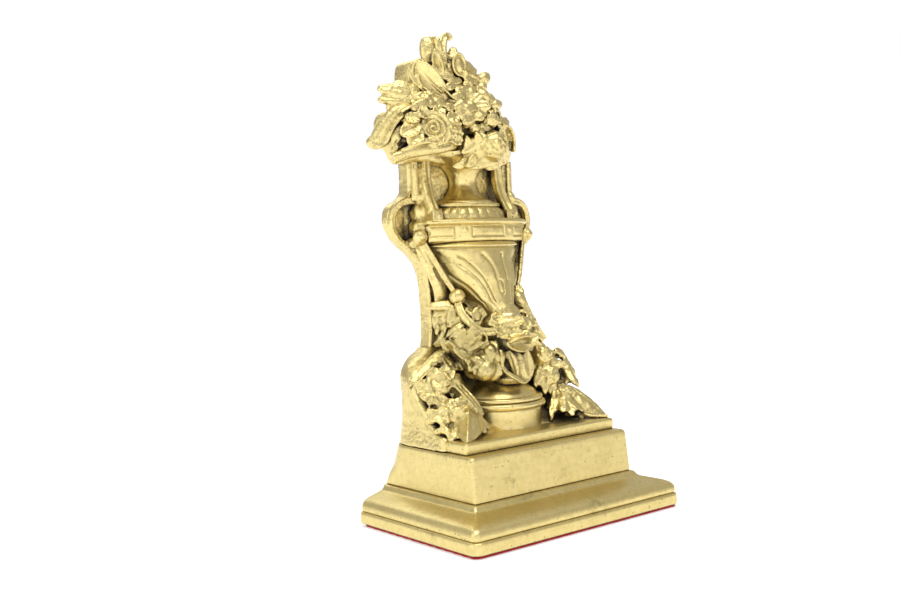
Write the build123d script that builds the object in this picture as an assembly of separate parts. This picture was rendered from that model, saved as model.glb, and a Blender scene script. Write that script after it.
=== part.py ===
"""A cast brass urn of flowers on a stepped plinth, with a flat back and a felt sole.

The script's own heights start at the underside of the brass, and every solid is lifted by the
felt's thickness when it is written, so the finished part stands on Z = 0.
X runs across the front, Y runs from the front (-) to the flat back (+), Z is up. Millimetres.
"""
from build123d import *
from math import cos, pi, sin
import os

# ---------------------------------------------------------------- driving dimensions
BASE_WIDTH = 125.0
BASE_DEPTH = 82.0
BACK = BASE_DEPTH / 2            # the flat back face
FRONT = -BASE_DEPTH / 2

FELT_THICKNESS = 1.2
FELT_INSET = 1.0

SLAB_TOP = 5.8                   # heights of the plinth's courses
MOULDING_TOP = 15.9
BLOCK_TOP = 35.0
TERRACE_TOP = 40.1

BLOCK_SIDE_INSET = 14.9          # the block stands this far inside the slab's sides
BLOCK_FRONT_INSET = 17.2
TERRACE_SIDE_INSET = 17.2
TERRACE_FRONT_INSET = 24.6

CAVITY_HALF_WIDTH = 38.0         # the hollow inside the plinth
CAVITY_FRONT = -15.0
CAVITY_BACK = 33.0
CAVITY_TOP = 30.0
CAVITY_CORNER = 4.0

CLOSING_PLATE = (96.0, 62.0, 2.0)
CLOSING_PLATE_Y = 7.0
SCREW_RADIUS = 2.0
SCREW_HEAD_RADIUS = 3.8
SCREW_LENGTH = 8.0
TIE_RADIUS = 2.5
TIE_HEAD_RADIUS = 4.5
TIE_HEAD_HEIGHT = 3.5
TIE_SPACING = 26.0
TIE_Y = 26.0
TIE_TOP = 60.0

PLATE_THICKNESS = 8.0
PLATE_FRONT = BACK - PLATE_THICKNESS
BOUQUET_BACK_THICKNESS = 12.0
BOUQUET_FRONT = BACK - BOUQUET_BACK_THICKNESS
TOTAL_HEIGHT = 223.0             # height of the brass alone

DRUM_Y = 14.5                    # the urn's round foot stands about this line
DRUM_RADIUS = 20.3
STEM_Y = 6.0
SMALLEST_PIECE = 4.0             # cubic millimetres: crumbs left by a cut are dropped

placed = {}


# ---------------------------------------------------------------- helpers
def solids_of(shape):
    return [s for s in shape.solids() if s.volume > SMALLEST_PIECE]


def overlaps(first, second):
    """True where the two bounding boxes share some room."""
    a = first.bounding_box()
    b = second.bounding_box()
    return (
        a.min.X < b.max.X and b.min.X < a.max.X
        and a.min.Y < b.max.Y and b.min.Y < a.max.Y
        and a.min.Z < b.max.Z and b.min.Z < a.max.Z
    )


def place(name, shape):
    """Keeps the piece under its name, cut back from every piece that is already there."""
    for other in placed.values():
        if overlaps(shape, other):
            shape = shape - other
    pieces = solids_of(shape)
    placed[name] = pieces[0] if len(pieces) == 1 else Compound(pieces)


def place_group(name, shapes):
    """Keeps identical fasteners together as one group of separate solids."""
    placed[name] = Compound([s for shape in shapes for s in solids_of(shape)])


def box(low, high):
    size = [h - l for l, h in zip(low, high)]
    middle = [(h + l) / 2 for l, h in zip(low, high)]
    return Pos(*middle) * Box(*size)


def turned(profile, y):
    """Revolves (radius, height) points about the upright axis at X = 0 and the given Y."""
    rim = [(0, profile[0][1])] + list(profile) + [(0, profile[-1][1])]
    face = make_face(Polyline(*[(r, 0, z) for r, z in rim], close=True))
    return Pos(0, y, 0) * revolve(face, Axis.Z)


def plan_section(half_width, y_front, corner, z, y_back=BACK, front_corner=1.0):
    """A plan outline with square sides, small front corners and rounded back corners."""
    w = half_width
    c = corner
    f = front_corner
    q = 1 - cos(pi / 4)
    outline = [
        Line((-w + f, y_front, z), (w - f, y_front, z)),
        ThreePointArc((w - f, y_front, z), (w - f * q, y_front + f * q, z), (w, y_front + f, z)),
        Line((w, y_front + f, z), (w, y_back - c, z)),
        ThreePointArc((w, y_back - c, z), (w - c * q, y_back - c * q, z), (w - c, y_back, z)),
        Line((w - c, y_back, z), (-w + c, y_back, z)),
        ThreePointArc((-w + c, y_back, z), (-w + c * q, y_back - c * q, z), (-w, y_back - c, z)),
        Line((-w, y_back - c, z), (-w, y_front + f, z)),
        ThreePointArc((-w, y_front + f, z), (-w + f * q, y_front + f * q, z), (-w + f, y_front, z)),
    ]
    return make_face(outline)


def courses(sections):
    """Joins plan sections (half width, front Y, back corner radius, height) into one solid."""
    return loft([plan_section(w, y, c, z) for w, y, c, z in sections], ruled=True)


def half_round(sections):
    """Joins ellipses (centre Y, half width, half depth, height) and keeps what is before the plate."""
    faces = []
    for y, across, deep, z in sections:
        faces.append(Pos(0, y, z) * Ellipse(across, deep))
    return loft(faces, ruled=True) & box((-70, -60, 0), (70, PLATE_FRONT, TOTAL_HEIGHT))


def frame_at(centre, spin=0.0, lean=0.0, swing=0.0):
    """A place whose own X runs along the blade and whose own Z faces the front.

    spin turns the blade in the plane of the relief, lean tips it back, swing turns it sideways.
    """
    return Pos(*centre) * Rot(Z=swing) * Rot(X=lean) * Rot(X=90) * Rot(Z=spin)


def blade(length, width, thickness):
    """A pointed leaf lying along X, from its stalk at the origin to its tip."""
    bow = width / 2
    top = ThreePointArc((0, 0), (length * 0.45, bow), (length, 0))
    low = ThreePointArc((length, 0), (length * 0.45, -bow), (0, 0))
    return Pos(0, 0, -thickness / 2) * extrude(make_face([top, low]), thickness)


def leaf(centre, length, width, thickness, spin, lean=0.0, swing=0.0):
    return frame_at(centre, spin, lean, swing) * blade(length, width, thickness)


def blossom(centre, radius, petals, depth, lean=0.0, swing=0.0):
    """A round flower: a ring of petal discs about a domed eye, facing the front."""
    petal_radius = radius * 0.42
    ring = radius - petal_radius
    shape = Cylinder(radius * 0.72, depth)
    for i in range(petals):
        turn = 2 * pi * i / petals
        shape += Pos(ring * cos(turn), ring * sin(turn), 0) * Cylinder(petal_radius, depth * 0.8)
    shape += Pos(0, 0, depth / 2) * Sphere(radius * 0.4)
    return frame_at(centre, 0, lean, swing) * shape


def bud(centre, radius, length, spin, lean=0.0, swing=0.0):
    """A small bud: a ball on a tapering stalk."""
    shape = Sphere(radius)
    shape += Pos(-length / 2, 0, 0) * Rot(Y=-90) * Cone(radius * 0.9, radius * 0.4, length)
    return frame_at(centre, spin, lean, swing) * shape


def rod(points, radius, width=None):
    """A rounded bar along straight runs joined by tangent arcs, half a run long at most."""
    path = FilletPolyline(*points, radius=radius * 2.2)
    start = Plane(origin=path @ 0, z_dir=path % 0)
    section = Circle(radius) if width is None else RectangleRounded(width, radius * 2, radius * 0.6)
    return sweep(start * section, path=path)


def mirrored(shape):
    return mirror(shape, about=Plane.YZ)


# ---------------------------------------------------------------- plinth
def cavity():
    footprint = RectangleRounded(2 * CAVITY_HALF_WIDTH, CAVITY_BACK - CAVITY_FRONT, CAVITY_CORNER)
    middle = (CAVITY_BACK + CAVITY_FRONT) / 2
    return Pos(0, middle, 0) * extrude(footprint, CAVITY_TOP)


def closing_screw_places():
    across = CLOSING_PLATE[0] / 2 - 5
    along = CLOSING_PLATE[1] / 2 - 4
    return [(sx * across, CLOSING_PLATE_Y + sy * along) for sx in (-1, 1) for sy in (-1, 1)]


def closing_screw(x, y):
    """A countersunk screw driven upwards, its head level with the plate's underside."""
    head = Pos(x, y, 1) * Cone(SCREW_HEAD_RADIUS, SCREW_RADIUS, 2)
    shank = Pos(x, y, SCREW_LENGTH / 2) * Cylinder(SCREW_RADIUS, SCREW_LENGTH)
    slot = box((x - 3.5, y - 0.5, 0), (x + 3.5, y + 0.5, 1))
    return head + shank - slot


def tie_screw(x):
    """A long screw from the plinth's hollow up into the mound behind the urn."""
    head_bottom = CAVITY_TOP - TIE_HEAD_HEIGHT
    head = Pos(x, TIE_Y, CAVITY_TOP - TIE_HEAD_HEIGHT / 2) * Cylinder(TIE_HEAD_RADIUS, TIE_HEAD_HEIGHT)
    length = TIE_TOP - head_bottom
    shank = Pos(x, TIE_Y, head_bottom + length / 2) * Cylinder(TIE_RADIUS, length)
    socket = Pos(x, TIE_Y, head_bottom + 1) * extrude(RegularPolygon(2.3, 6), 2, both=True)
    return head + shank - socket


def build_plinth():
    footprint = RectangleRounded(BASE_WIDTH - 2 * FELT_INSET, BASE_DEPTH - 2 * FELT_INSET, 3)
    place("felt_pad", Pos(0, 0, -FELT_THICKNESS) * extrude(footprint, FELT_THICKNESS))

    place_group("closing_screws", [closing_screw(x, y) for x, y in closing_screw_places()])
    place_group("tie_screws", [tie_screw(side * TIE_SPACING / 2) for side in (-1, 1)])

    width, depth, thickness = CLOSING_PLATE
    plate = extrude(RectangleRounded(width, depth, 5), thickness)
    place("closing_plate", Pos(0, CLOSING_PLATE_Y, 0) * plate)

    half = BASE_WIDTH / 2
    slab = courses([
        (half - 0.8, FRONT + 0.8, 2.0, 0),
        (half, FRONT, 2.0, 0.9),
        (half, FRONT, 2.0, SLAB_TOP - 1.2),
        (half - 0.5, FRONT + 0.5, 2.0, SLAB_TOP - 0.4),
        (half - 1.6, FRONT + 1.6, 2.0, SLAB_TOP),
    ])
    place("base_slab", slab - cavity())

    # inset of the moulding's face at each height: a lower roll, a hollow and an upper round
    ogee = [(1.3, SLAB_TOP), (0.9, 6.8), (1.2, 8.6), (2.3, 10.0), (4.4, 11.1), (7.0, 11.9),
            (9.7, 12.7), (11.8, 13.4), (13.0, 14.3), (13.6, 15.3), (14.2, MOULDING_TOP)]
    stretch = BLOCK_FRONT_INSET / BLOCK_SIDE_INSET
    place("base_moulding", courses(
        [(half - inset, FRONT + inset * stretch, 1.6, z) for inset, z in ogee]) - cavity())

    side = half - BLOCK_SIDE_INSET
    front = FRONT + BLOCK_FRONT_INSET
    block = courses([
        (side + 0.1, front - 0.1, 1.6, MOULDING_TOP),
        (side, front, 4.6, 19.9),
        (side - 0.1, front + 0.5, 10.6, 25.0),
        (side - 0.2, front + 1.0, 14.4, 30.4),
        (side - 0.3, front + 1.5, 16.6, BLOCK_TOP - 1.0),
        (side - 1.2, front + 2.4, 17.0, BLOCK_TOP),
    ])
    place("plinth_block", block - cavity())

    terrace_side = half - TERRACE_SIDE_INSET
    terrace_front = FRONT + TERRACE_FRONT_INSET
    place("terrace_step", courses([
        (terrace_side - 0.3, terrace_front + 0.5, 16.6, BLOCK_TOP),
        (terrace_side, terrace_front, 17.0, BLOCK_TOP + 0.9),
        (terrace_side, terrace_front, 17.4, TERRACE_TOP - 0.8),
        (terrace_side - 0.7, terrace_front + 0.7, 17.4, TERRACE_TOP),
    ]))


# ---------------------------------------------------------------- back of the relief
def build_back():
    place("rear_mound", courses([
        (44.6, -2.0, 17.4, TERRACE_TOP),
        (45.0, 6.0, 18.5, 46.0),
        (45.6, 14.0, 18.5, 56.0),
        (45.2, 20.0, 17.5, 65.0),
        (42.5, 23.0, 14.0, 69.0),
        (36.5, 26.0, 10.0, 73.0),
        (27.5, 30.0, 4.0, 76.7),
    ]))

    # outline of one side, from the mound up past the handle's bulge to the strap's top
    edge = [(24.2, 76.7), (23.7, 90.0), (23.9, 102.0), (24.4, 109.0), (27.2, 117.5), (34.9, 124.0),
            (41.4, 132.0), (43.3, 137.3), (41.6, 142.6), (35.5, 146.6), (32.6, 150.5), (32.6, 164.0)]
    right = Spline(*[(x, BACK, z) for x, z in edge])
    left = Spline(*[(-x, BACK, z) for x, z in edge])
    bottom = Line((-edge[0][0], BACK, edge[0][1]), (edge[0][0], BACK, edge[0][1]))
    top = Line((-edge[-1][0], BACK, edge[-1][1]), (edge[-1][0], BACK, edge[-1][1]))
    place("back_plate", extrude(make_face([bottom, right, top, left]), PLATE_THICKNESS, dir=(0, -1, 0)))

    lobes = [(-31, 163), (-36, 164), (-37, 170), (-35.5, 178), (-34.5, 186), (-34, 192), (-33, 200),
             (-32.6, 206), (-31, 209), (-27, 210.6), (-20.5, 211.5), (-17.6, 213), (-17, 219),
             (-15.4, TOTAL_HEIGHT), (-13.6, 218), (-9.5, 214.5), (-6, 216.6), (-2, 215), (-1.6, 212),
             (3, 207), (9, 204), (13, 204), (14, 199), (18.6, 194), (22, 191), (25.5, 186),
             (28.5, 181.5), (29.6, 174.5), (28.6, 167.5), (25.5, 163)]
    outline = Polyline(*[(x, BACK, z) for x, z in lobes], close=True)
    place("bouquet_back", extrude(make_face(outline), BOUQUET_BACK_THICKNESS, dir=(0, -1, 0)))


# ---------------------------------------------------------------- urn
def build_urn_foot():
    place("urn_drum", turned([
        (DRUM_RADIUS + 0.6, TERRACE_TOP), (DRUM_RADIUS, TERRACE_TOP + 1), (DRUM_RADIUS, 49.0),
    ], DRUM_Y))
    place("urn_foot_ring", turned([
        (DRUM_RADIUS + 0.9, 49.0), (DRUM_RADIUS + 1.8, 50.2), (DRUM_RADIUS + 0.9, 51.4),
        (DRUM_RADIUS + 0.2, 51.8), (DRUM_RADIUS + 0.8, 53.0), (DRUM_RADIUS - 0.2, 54.0),
    ], DRUM_Y))
    place("urn_dome", turned([
        (DRUM_RADIUS - 1.6, 54.0), (DRUM_RADIUS - 4.5, 57.0), (DRUM_RADIUS - 9.0, 60.0), (5.5, 62.5),
    ], DRUM_Y))

    place("urn_stem", turned([
        (6.5, 60.0), (8.0, 62.5), (6.2, 65.0), (5.0, 68.5), (5.6, 74.0), (7.5, 80.0), (6.0, 92.0),
    ], STEM_Y))


def build_urn():
    place("urn_body", half_round([
        (11.0, 5.6, 5.8, 92.0), (13.0, 7.8, 7.8, 96.0), (19.0, 12.2, 12.5, 100.0),
        (25.0, 16.5, 17.5, 105.0), (29.0, 20.0, 20.5, 110.0), (33.0, 23.5, 22.5, 116.0),
        (33.0, 24.5, 21.0, 121.0), (33.0, 23.8, 18.4, 126.0),
    ]))

    # the band is a shallow bow, deepest in the middle
    bow = make_face([
        ThreePointArc((-33, 27.6, 126), (0, 15.6, 126), (33, 27.6, 126)),
        Line((33, 27.6, 126), (33, PLATE_FRONT, 126)),
        Line((33, PLATE_FRONT, 126), (-33, PLATE_FRONT, 126)),
        Line((-33, PLATE_FRONT, 126), (-33, 27.6, 126)),
    ])
    place("rim_band", extrude(bow, 10))

    gadroons = half_round([(33, 22.0, 14.2, 136.0), (33, 23.4, 15.6, 139.5), (33, 21.5, 13.8, 142.5)])
    place("gadroon_ring", gadroons)
    place("urn_neck", half_round([
        (33, 14.0, 13.0, 142.5), (33, 14.0, 12.6, 145.0), (33, 9.0, 8.4, 148.5), (33, 7.0, 6.6, 153.5),
        (33, 8.2, 7.6, 158.0), (33, 14.0, 12.5, 163.0), (33, 19.0, 15.0, 166.0),
    ]))


def build_straps():
    """Ribbons that frame the neck, loop out as handles and come down to the ring balls."""
    outer = rod([(-30.4, 30.6, 146), (-30.4, 31.0, 155), (-30.6, 31.0, 163)], 1.9, 4.0)
    inner = rod([(-21.5, 27.0, 137.5), (-24.0, 30.0, 147), (-24.4, 31.0, 163)], 1.9, 4.6)
    foot = box((-24.5, 23.5, 136), (-18.5, 30.5, 140.5))
    strap = outer + inner + foot

    loop = rod([(-31.0, 31.0, 146.0), (-36.5, 31.4, 144.5), (-41.0, 32.6, 137.3), (-37.5, 32.0, 130.0),
                (-31.0, 29.5, 123.0), (-26.5, 27.0, 117.5)], 2.3)
    trail = rod([(-32.0, 27.0, 127.5), (-26.5, 23.5, 117.5), (-19.5, 19.5, 103.5)], 2.6)
    knob = box((-37.5, 25.5, 126.2), (-33.0, PLATE_FRONT, 131.4))
    handle = loop + trail + knob

    ball = Pos(-18.5, 19.5, 99.5) * Sphere(4.2)
    swag = rod([(-17.0, 16.0, 95.5), (-13.0, 11.5, 88.0), (-6.5, 7.0, 84.5)], 2.6)

    for side, half in (("left", lambda s: s), ("right", mirrored)):
        place(f"{side}_strap", half(strap))
        place(f"{side}_handle", half(handle))
        place(f"{side}_ball", half(ball))
        place(f"{side}_swag", half(swag))


# ---------------------------------------------------------------- flowers and leaves
def build_garlands():
    """The bloom under the urn and the leaves and flowers heaped on each side of the foot."""
    place("centre_flower", blossom((1.5, 4.5, 84.5), 12.6, 8, 11.0))

    left = blossom((-23, 10, 84), 8.0, 6, 8.0, swing=-25)
    left += blossom((-13, 2, 70), 8.0, 6, 9.0, swing=-10)
    left += leaf((-17, 16, 97), 17, 9, 4, 205, swing=-20)
    left += leaf((-20, 14, 92), 18, 9, 4, 250, swing=-20)
    left += leaf((-30, 18, 88), 16, 9, 5, 260, swing=-35)
    left += bud((-32, 17, 76), 3.6, 7, 60, swing=-30)
    place("left_garland", left)

    right = blossom((30, 8, 61), 10.0, 7, 11.0, swing=20)
    right += leaf((13, 3, 78), 15, 9, 4, 290, swing=0)
    right += leaf((24, 5, 68), 17, 9, 5, 243, swing=5)
    right += leaf((22, 9, 77), 22, 9, 5, 332, swing=20)
    right += blossom((24, 8, 73), 7.0, 6, 9.0, swing=20)
    place("right_garland", right)

    low_left = leaf((-26, 8, 72), 26, 12, 5, 205, swing=-40)
    low_left += leaf((-31, 6, 62), 20, 12, 6, 230, swing=-40)
    low_left += leaf((-28, 6, 66), 24, 7, 4, 300, swing=-25)
    low_left += leaf((-32, -1, 52), 22, 13, 6, 235, swing=-35)
    low_left += leaf((-30, -4, 49), 15, 10, 5, 262, swing=-20)
    low_left += blossom((-35, 7, 57), 7.0, 6, 8.0, swing=-45)
    place("left_foliage", low_left & box((-70, -60, TERRACE_TOP), (0, BACK, 100)))

    low_right = leaf((24, -3, 57), 24, 14, 7, 322, swing=15)
    low_right += leaf((33, 0, 53), 20, 15, 8, 312, swing=30)
    low_right += bud((24.5, -5, 46.5), 5.0, 8, 270, swing=10)
    low_right += blossom((36, 8, 60), 8.0, 6, 9.0, swing=35)
    place("right_foliage", low_right & box((0, -60, TERRACE_TOP), (70, BACK, 100)))


def build_bouquet():
    """The heap of flowers and leaves above the neck."""
    place("rose", blossom((-28, 24, 177), 12.5, 9, 12.0, swing=-12))
    place("daisy", blossom((-7, 24, 189), 10.5, 10, 10.0))
    place("lower_flower", blossom((5, 22, 170), 9.0, 8, 12.0, lean=-10, swing=8))
    place("rolled_leaf", leaf((-26, 25, 185), 27, 13, 7, 205) + bud((-48, 27, 171), 4.5, 9, 205))
    place("low_petals", leaf((-14, 22, 170), 28, 13, 9, 186) + leaf((-27, 23, 176), 20, 12, 8, 215))
    place("leaf_fan", leaf((-24, 26, 187), 24, 15, 6, 165) + leaf((-23, 26, 190), 20, 13, 6, 145))
    place("rimmed_leaf", leaf((-15, 24, 190), 24, 12, 6, 127))
    place("top_leaves", leaf((-12, 27, 204), 17, 8, 5, 118) + leaf((-8, 26, 204), 18.5, 8, 6, 88))
    place("top_buds", bud((-2, 26, 206), 5.0, 7, 60) + bud((4, 27, 203), 4.0, 9, 15))
    place("right_buds", bud((5, 26, 193), 4.2, 9, -20) + bud((11, 27, 190), 4.2, 8, 20)
          + bud((7, 24, 184), 4.6, 5, 60))
    place("right_flower", blossom((19, 25, 177), 8.5, 8, 9.0, swing=20)
          + leaf((12, 27, 166), 18, 11, 6, 20, swing=15))


def write_parts():
    os.makedirs("parts", exist_ok=True)
    for name, shape in placed.items():
        export_step(Pos(0, 0, FELT_THICKNESS) * shape, f"parts/{name}.step")


build_plinth()
build_urn_foot()
build_back()
build_urn()
build_straps()
build_garlands()
build_bouquet()
write_parts()
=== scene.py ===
"""The look of a cast brass urn of flowers on a stepped plinth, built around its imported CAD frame.

Shapes are given in millimetres: X across the front, Y from the front (-) to the flat back (+), and
heights above the underside of the brass, which rests on the felt. They become metres in mesh_piece.
"""
from math import cos, pi, radians, sin

import bpy
import numpy as np
from mathutils import Matrix, Vector


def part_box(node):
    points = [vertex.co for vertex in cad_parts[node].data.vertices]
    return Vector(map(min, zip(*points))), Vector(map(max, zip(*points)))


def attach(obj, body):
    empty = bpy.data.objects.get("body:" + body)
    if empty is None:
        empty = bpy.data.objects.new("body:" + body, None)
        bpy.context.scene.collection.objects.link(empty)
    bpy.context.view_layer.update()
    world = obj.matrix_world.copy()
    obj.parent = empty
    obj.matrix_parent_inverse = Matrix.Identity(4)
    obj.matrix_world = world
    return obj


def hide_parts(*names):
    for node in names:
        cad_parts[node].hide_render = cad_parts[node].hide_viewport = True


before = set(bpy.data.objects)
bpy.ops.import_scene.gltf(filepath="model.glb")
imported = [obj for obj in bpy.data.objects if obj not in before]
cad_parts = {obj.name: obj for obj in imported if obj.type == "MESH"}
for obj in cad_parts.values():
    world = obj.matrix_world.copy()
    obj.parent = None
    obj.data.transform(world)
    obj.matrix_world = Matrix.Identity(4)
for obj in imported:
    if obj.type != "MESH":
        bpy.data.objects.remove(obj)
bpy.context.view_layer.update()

MM = 0.001
FINE_VOXEL = 0.36                # millimetres, for flowers, leaves and ribbons
SOFTENING = 2                    # smoothing steps that give the soft look of a sand casting


def node_box(node):
    """Lowest and highest corner of a CAD node in millimetres."""
    low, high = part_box(node)
    return np.array(low) / MM, np.array(high) / MM


SOLE = node_box("felt_pad")[1][2]              # height of the brass's underside
BACK = node_box("back_plate")[1][1]            # the flat back
PLATE_FRONT = node_box("back_plate")[0][1]


# ------------------------------------------------------------------ shells
class Clay:
    """Closed shells that are fused into one piece."""

    def __init__(self):
        self.points = []
        self.faces = []
        self.count = 0

    def add(self, points, faces):
        points = np.asarray(points, float).reshape(-1, 3)
        self.points.append(points)
        self.faces += [tuple(i + self.count for i in face) for face in faces]
        self.count += len(points)
        return self


def facing(yaw=0.0, pitch=0.0, spin=0.0):
    """Axes, as rows, of a shape whose outward side faces the front.

    yaw turns it to the right, pitch tips it up, and spin turns it in its own plane.
    """
    y, p, s = radians(yaw), radians(pitch), radians(spin)
    out = np.array([sin(y) * cos(p), -cos(y) * cos(p), sin(p)])
    right = np.array([cos(y), sin(y), 0.0])
    up = np.cross(out, right)
    along = cos(s) * right + sin(s) * up
    across = -sin(s) * right + cos(s) * up
    return np.array([along, across, out])


def put(grid, centre, yaw=0.0, pitch=0.0, spin=0.0):
    return grid @ facing(yaw, pitch, spin) + np.array(centre)


def grid_faces(rows, columns, closed=False):
    """Quads over a grid of points, joined at the ends of each row if closed."""
    faces = []
    for r in range(rows - 1):
        for c in range(columns if closed else columns - 1):
            d = (c + 1) % columns
            faces.append((r * columns + c, r * columns + d, (r + 1) * columns + d, (r + 1) * columns + c))
    return faces


def rings_shell(rings):
    """A closed shell over a stack of closed rings with flat ends."""
    rings = np.asarray(rings, float)
    rows, columns, _ = rings.shape
    faces = grid_faces(rows, columns, closed=True)
    points = rings.reshape(-1, 3)
    low, high = len(points), len(points) + 1
    points = np.vstack([points, rings[0].mean(0), rings[-1].mean(0)])
    for c in range(columns):
        d = (c + 1) % columns
        faces.append((low, d, c))
        faces.append((high, (rows - 1) * columns + c, (rows - 1) * columns + d))
    return points, faces


def sheet_shell(grid, thickness, taper=0.65):
    """A closed shell of the given thickness over a grid, thinner towards its edges."""
    rows, columns, _ = grid.shape
    normal = np.cross(np.gradient(grid, axis=0), np.gradient(grid, axis=1))
    normal /= np.linalg.norm(normal, axis=2, keepdims=True) + 1e-9
    s = np.abs(np.linspace(-1, 1, rows))[:, None]
    t = np.abs(np.linspace(-1, 1, columns))[None, :]
    half = thickness / 2 * (1 - taper * np.maximum(s, t) ** 5)
    front = grid + normal * half[..., None]
    rear = grid - normal * half[..., None]
    n = rows * columns
    faces = grid_faces(rows, columns)
    faces += [tuple(n + i for i in face[::-1]) for face in grid_faces(rows, columns)]
    border = list(range(columns))
    border += [r * columns + columns - 1 for r in range(1, rows)]
    border += [(rows - 1) * columns + c for c in range(columns - 2, -1, -1)]
    border += [r * columns for r in range(rows - 2, 0, -1)]
    for i, a in enumerate(border):
        b = border[(i + 1) % len(border)]
        faces.append((b, a, n + a, n + b))
    return np.vstack([front.reshape(-1, 3), rear.reshape(-1, 3)]), faces


def curve_through(points, steps):
    """A smooth line through the given points."""
    p = np.asarray(points, float)
    p = np.vstack([2 * p[0] - p[1], p, 2 * p[-1] - p[-2]])
    line = []
    for i in range(1, len(p) - 2):
        t = np.linspace(0, 1, steps, endpoint=False)[:, None]
        a, b, c, d = p[i - 1], p[i], p[i + 1], p[i + 2]
        line.append(0.5 * (2 * b + (c - a) * t + (2 * a - 5 * b + 4 * c - d) * t ** 2
            + (3 * b - a - 3 * c + d) * t ** 3))
    line.append(p[-2][None, :])
    return np.vstack(line)


# ------------------------------------------------------------------ leaf, petal, ribbon, ball
def blade_grid(length, width, bend=0.0, cup=0.0, point=0.7, veins=0, vein=0.35, midrib=0.5, rim=0.0,
        wave=0.0, waves=3.0, blunt=0.7, side=0.0, rows=30, columns=17):
    """A leaf or petal along X from its stalk at the origin, its face towards +Z.

    bend curls the tip towards +Z by that many degrees, cup raises both edges, point below 1 puts
    the widest place near the stalk, rim raises the edge, wave ruffles it, side curves it in plan.
    """
    s = np.linspace(0.0, 1.0, rows)[:, None]
    t = np.linspace(-1.0, 1.0, columns)[None, :]
    half = width / 2 * np.sin(pi * (0.03 + 0.94 * s) ** point) ** blunt
    y = half * t + side * length * (s ** 2)
    height = cup * half * t ** 2
    height = height - midrib * np.exp(-(half * t / 0.55) ** 2)
    if veins:
        ripple = np.sin(2 * pi * veins * (s - 0.3 * np.abs(t)))
        height = height + vein * ripple * np.abs(t) * (1.15 - np.abs(t))
    height = height + rim * np.clip((np.abs(t) - 0.72) / 0.2, 0, 1)
    height = height + wave * np.sin(2 * pi * waves * s + 2.0 * np.sign(t)) * np.abs(t) ** 2
    b = radians(bend) if abs(bend) > 0.5 else radians(0.5)
    x = length * np.sin(b * s) / b - height * np.sin(b * s) + 0 * t
    z = length * (1 - np.cos(b * s)) / b + height * np.cos(b * s) + 0 * t
    return np.stack([x, y + 0 * s, z], axis=2)


def blade(clay, centre, length, width, yaw=0.0, pitch=0.0, spin=0.0, thick=1.7, **shape):
    clay.add(*sheet_shell(put(blade_grid(length, width, **shape), centre, yaw, pitch, spin), thick))


def ball(clay, centre, radii, yaw=0.0, pitch=0.0, spin=0.0, rows=14, columns=22):
    """An egg whose radii run along, across and outwards."""
    radii = np.broadcast_to(np.asarray(radii, float), 3)
    turn = np.linspace(0, 2 * pi, columns, endpoint=False)
    rings = []
    for tilt in np.linspace(0.06, pi - 0.06, rows):
        girth = np.sin(tilt)
        ring = np.stack([np.cos(tilt) + 0 * turn, girth * np.cos(turn), girth * np.sin(turn)], 1)
        rings.append(ring * radii)
    clay.add(*rings_shell(put(np.array(rings)[::-1], centre, yaw, pitch, spin)))


def ribbon(clay, points, width, thick, out=(0, -1, 0), groove=0.0, ends=(1.0, 1.0), steps=9, power=3.0):
    """A flat band through the points with rounded edges, and a channel along its face if grooved."""
    line = curve_through(points, steps)
    tangent = np.gradient(line, axis=0)
    tangent /= np.linalg.norm(tangent, axis=1, keepdims=True)
    out = np.array(out, float)
    outs = np.linspace(0, 1, len(line))[:, None] * (out[-1] - out[0]) + out[0] if out.ndim == 2 else out
    across = np.cross(tangent, np.broadcast_to(outs, line.shape))
    across /= np.linalg.norm(across, axis=1, keepdims=True)
    outward = np.cross(across, tangent)
    turn = np.linspace(0, 2 * pi, 24, endpoint=False)
    a = np.sign(np.cos(turn)) * np.abs(np.cos(turn)) ** (2 / power)
    b = np.sign(np.sin(turn)) * np.abs(np.sin(turn)) ** (2 / power)
    b = b - groove / thick * 2 * np.exp(-(a / 0.42) ** 2) * (b > 0)
    scale = np.linspace(ends[0], ends[1], len(line))
    rings = []
    for p, u, v, k in zip(line, across, outward, scale):
        rings.append(p + k * width / 2 * a[:, None] * u + k * thick / 2 * b[:, None] * v)
    clay.add(*rings_shell(np.array(rings)[::-1]))


def lathe(clay, profile, y, steps=128):
    """Turns a line of (radius, height) points about an upright axis."""
    turn = np.linspace(0, 2 * pi, steps, endpoint=False)
    rings = [np.stack([r * np.cos(turn), y + r * np.sin(turn), z + 0 * turn], 1) for r, z in profile]
    clay.add(*rings_shell(rings))


# ------------------------------------------------------------------ materials
# the dull and dark colours below also paint shade into recesses, besides stains, patina, pits and specks
CLEAN_BRASS = (0.775, 0.630, 0.285)
WARM_BRASS = (0.585, 0.452, 0.165)
DULL_BRASS_AND_SHADE = (0.315, 0.262, 0.11)
DARK_PATINA_AND_SHADE = (0.070, 0.048, 0.055)
POLISH_WHITE = (0.42, 0.40, 0.36)
EDGE_BRASS = (0.90, 0.755, 0.41)
# the pocket below is darkened with painted shade in the brass finishes
POCKET = (-19.0, 12.0, 76.0)     # millimetres: the hollow left of the urn's foot
POCKET_REACH = 26.0


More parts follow.
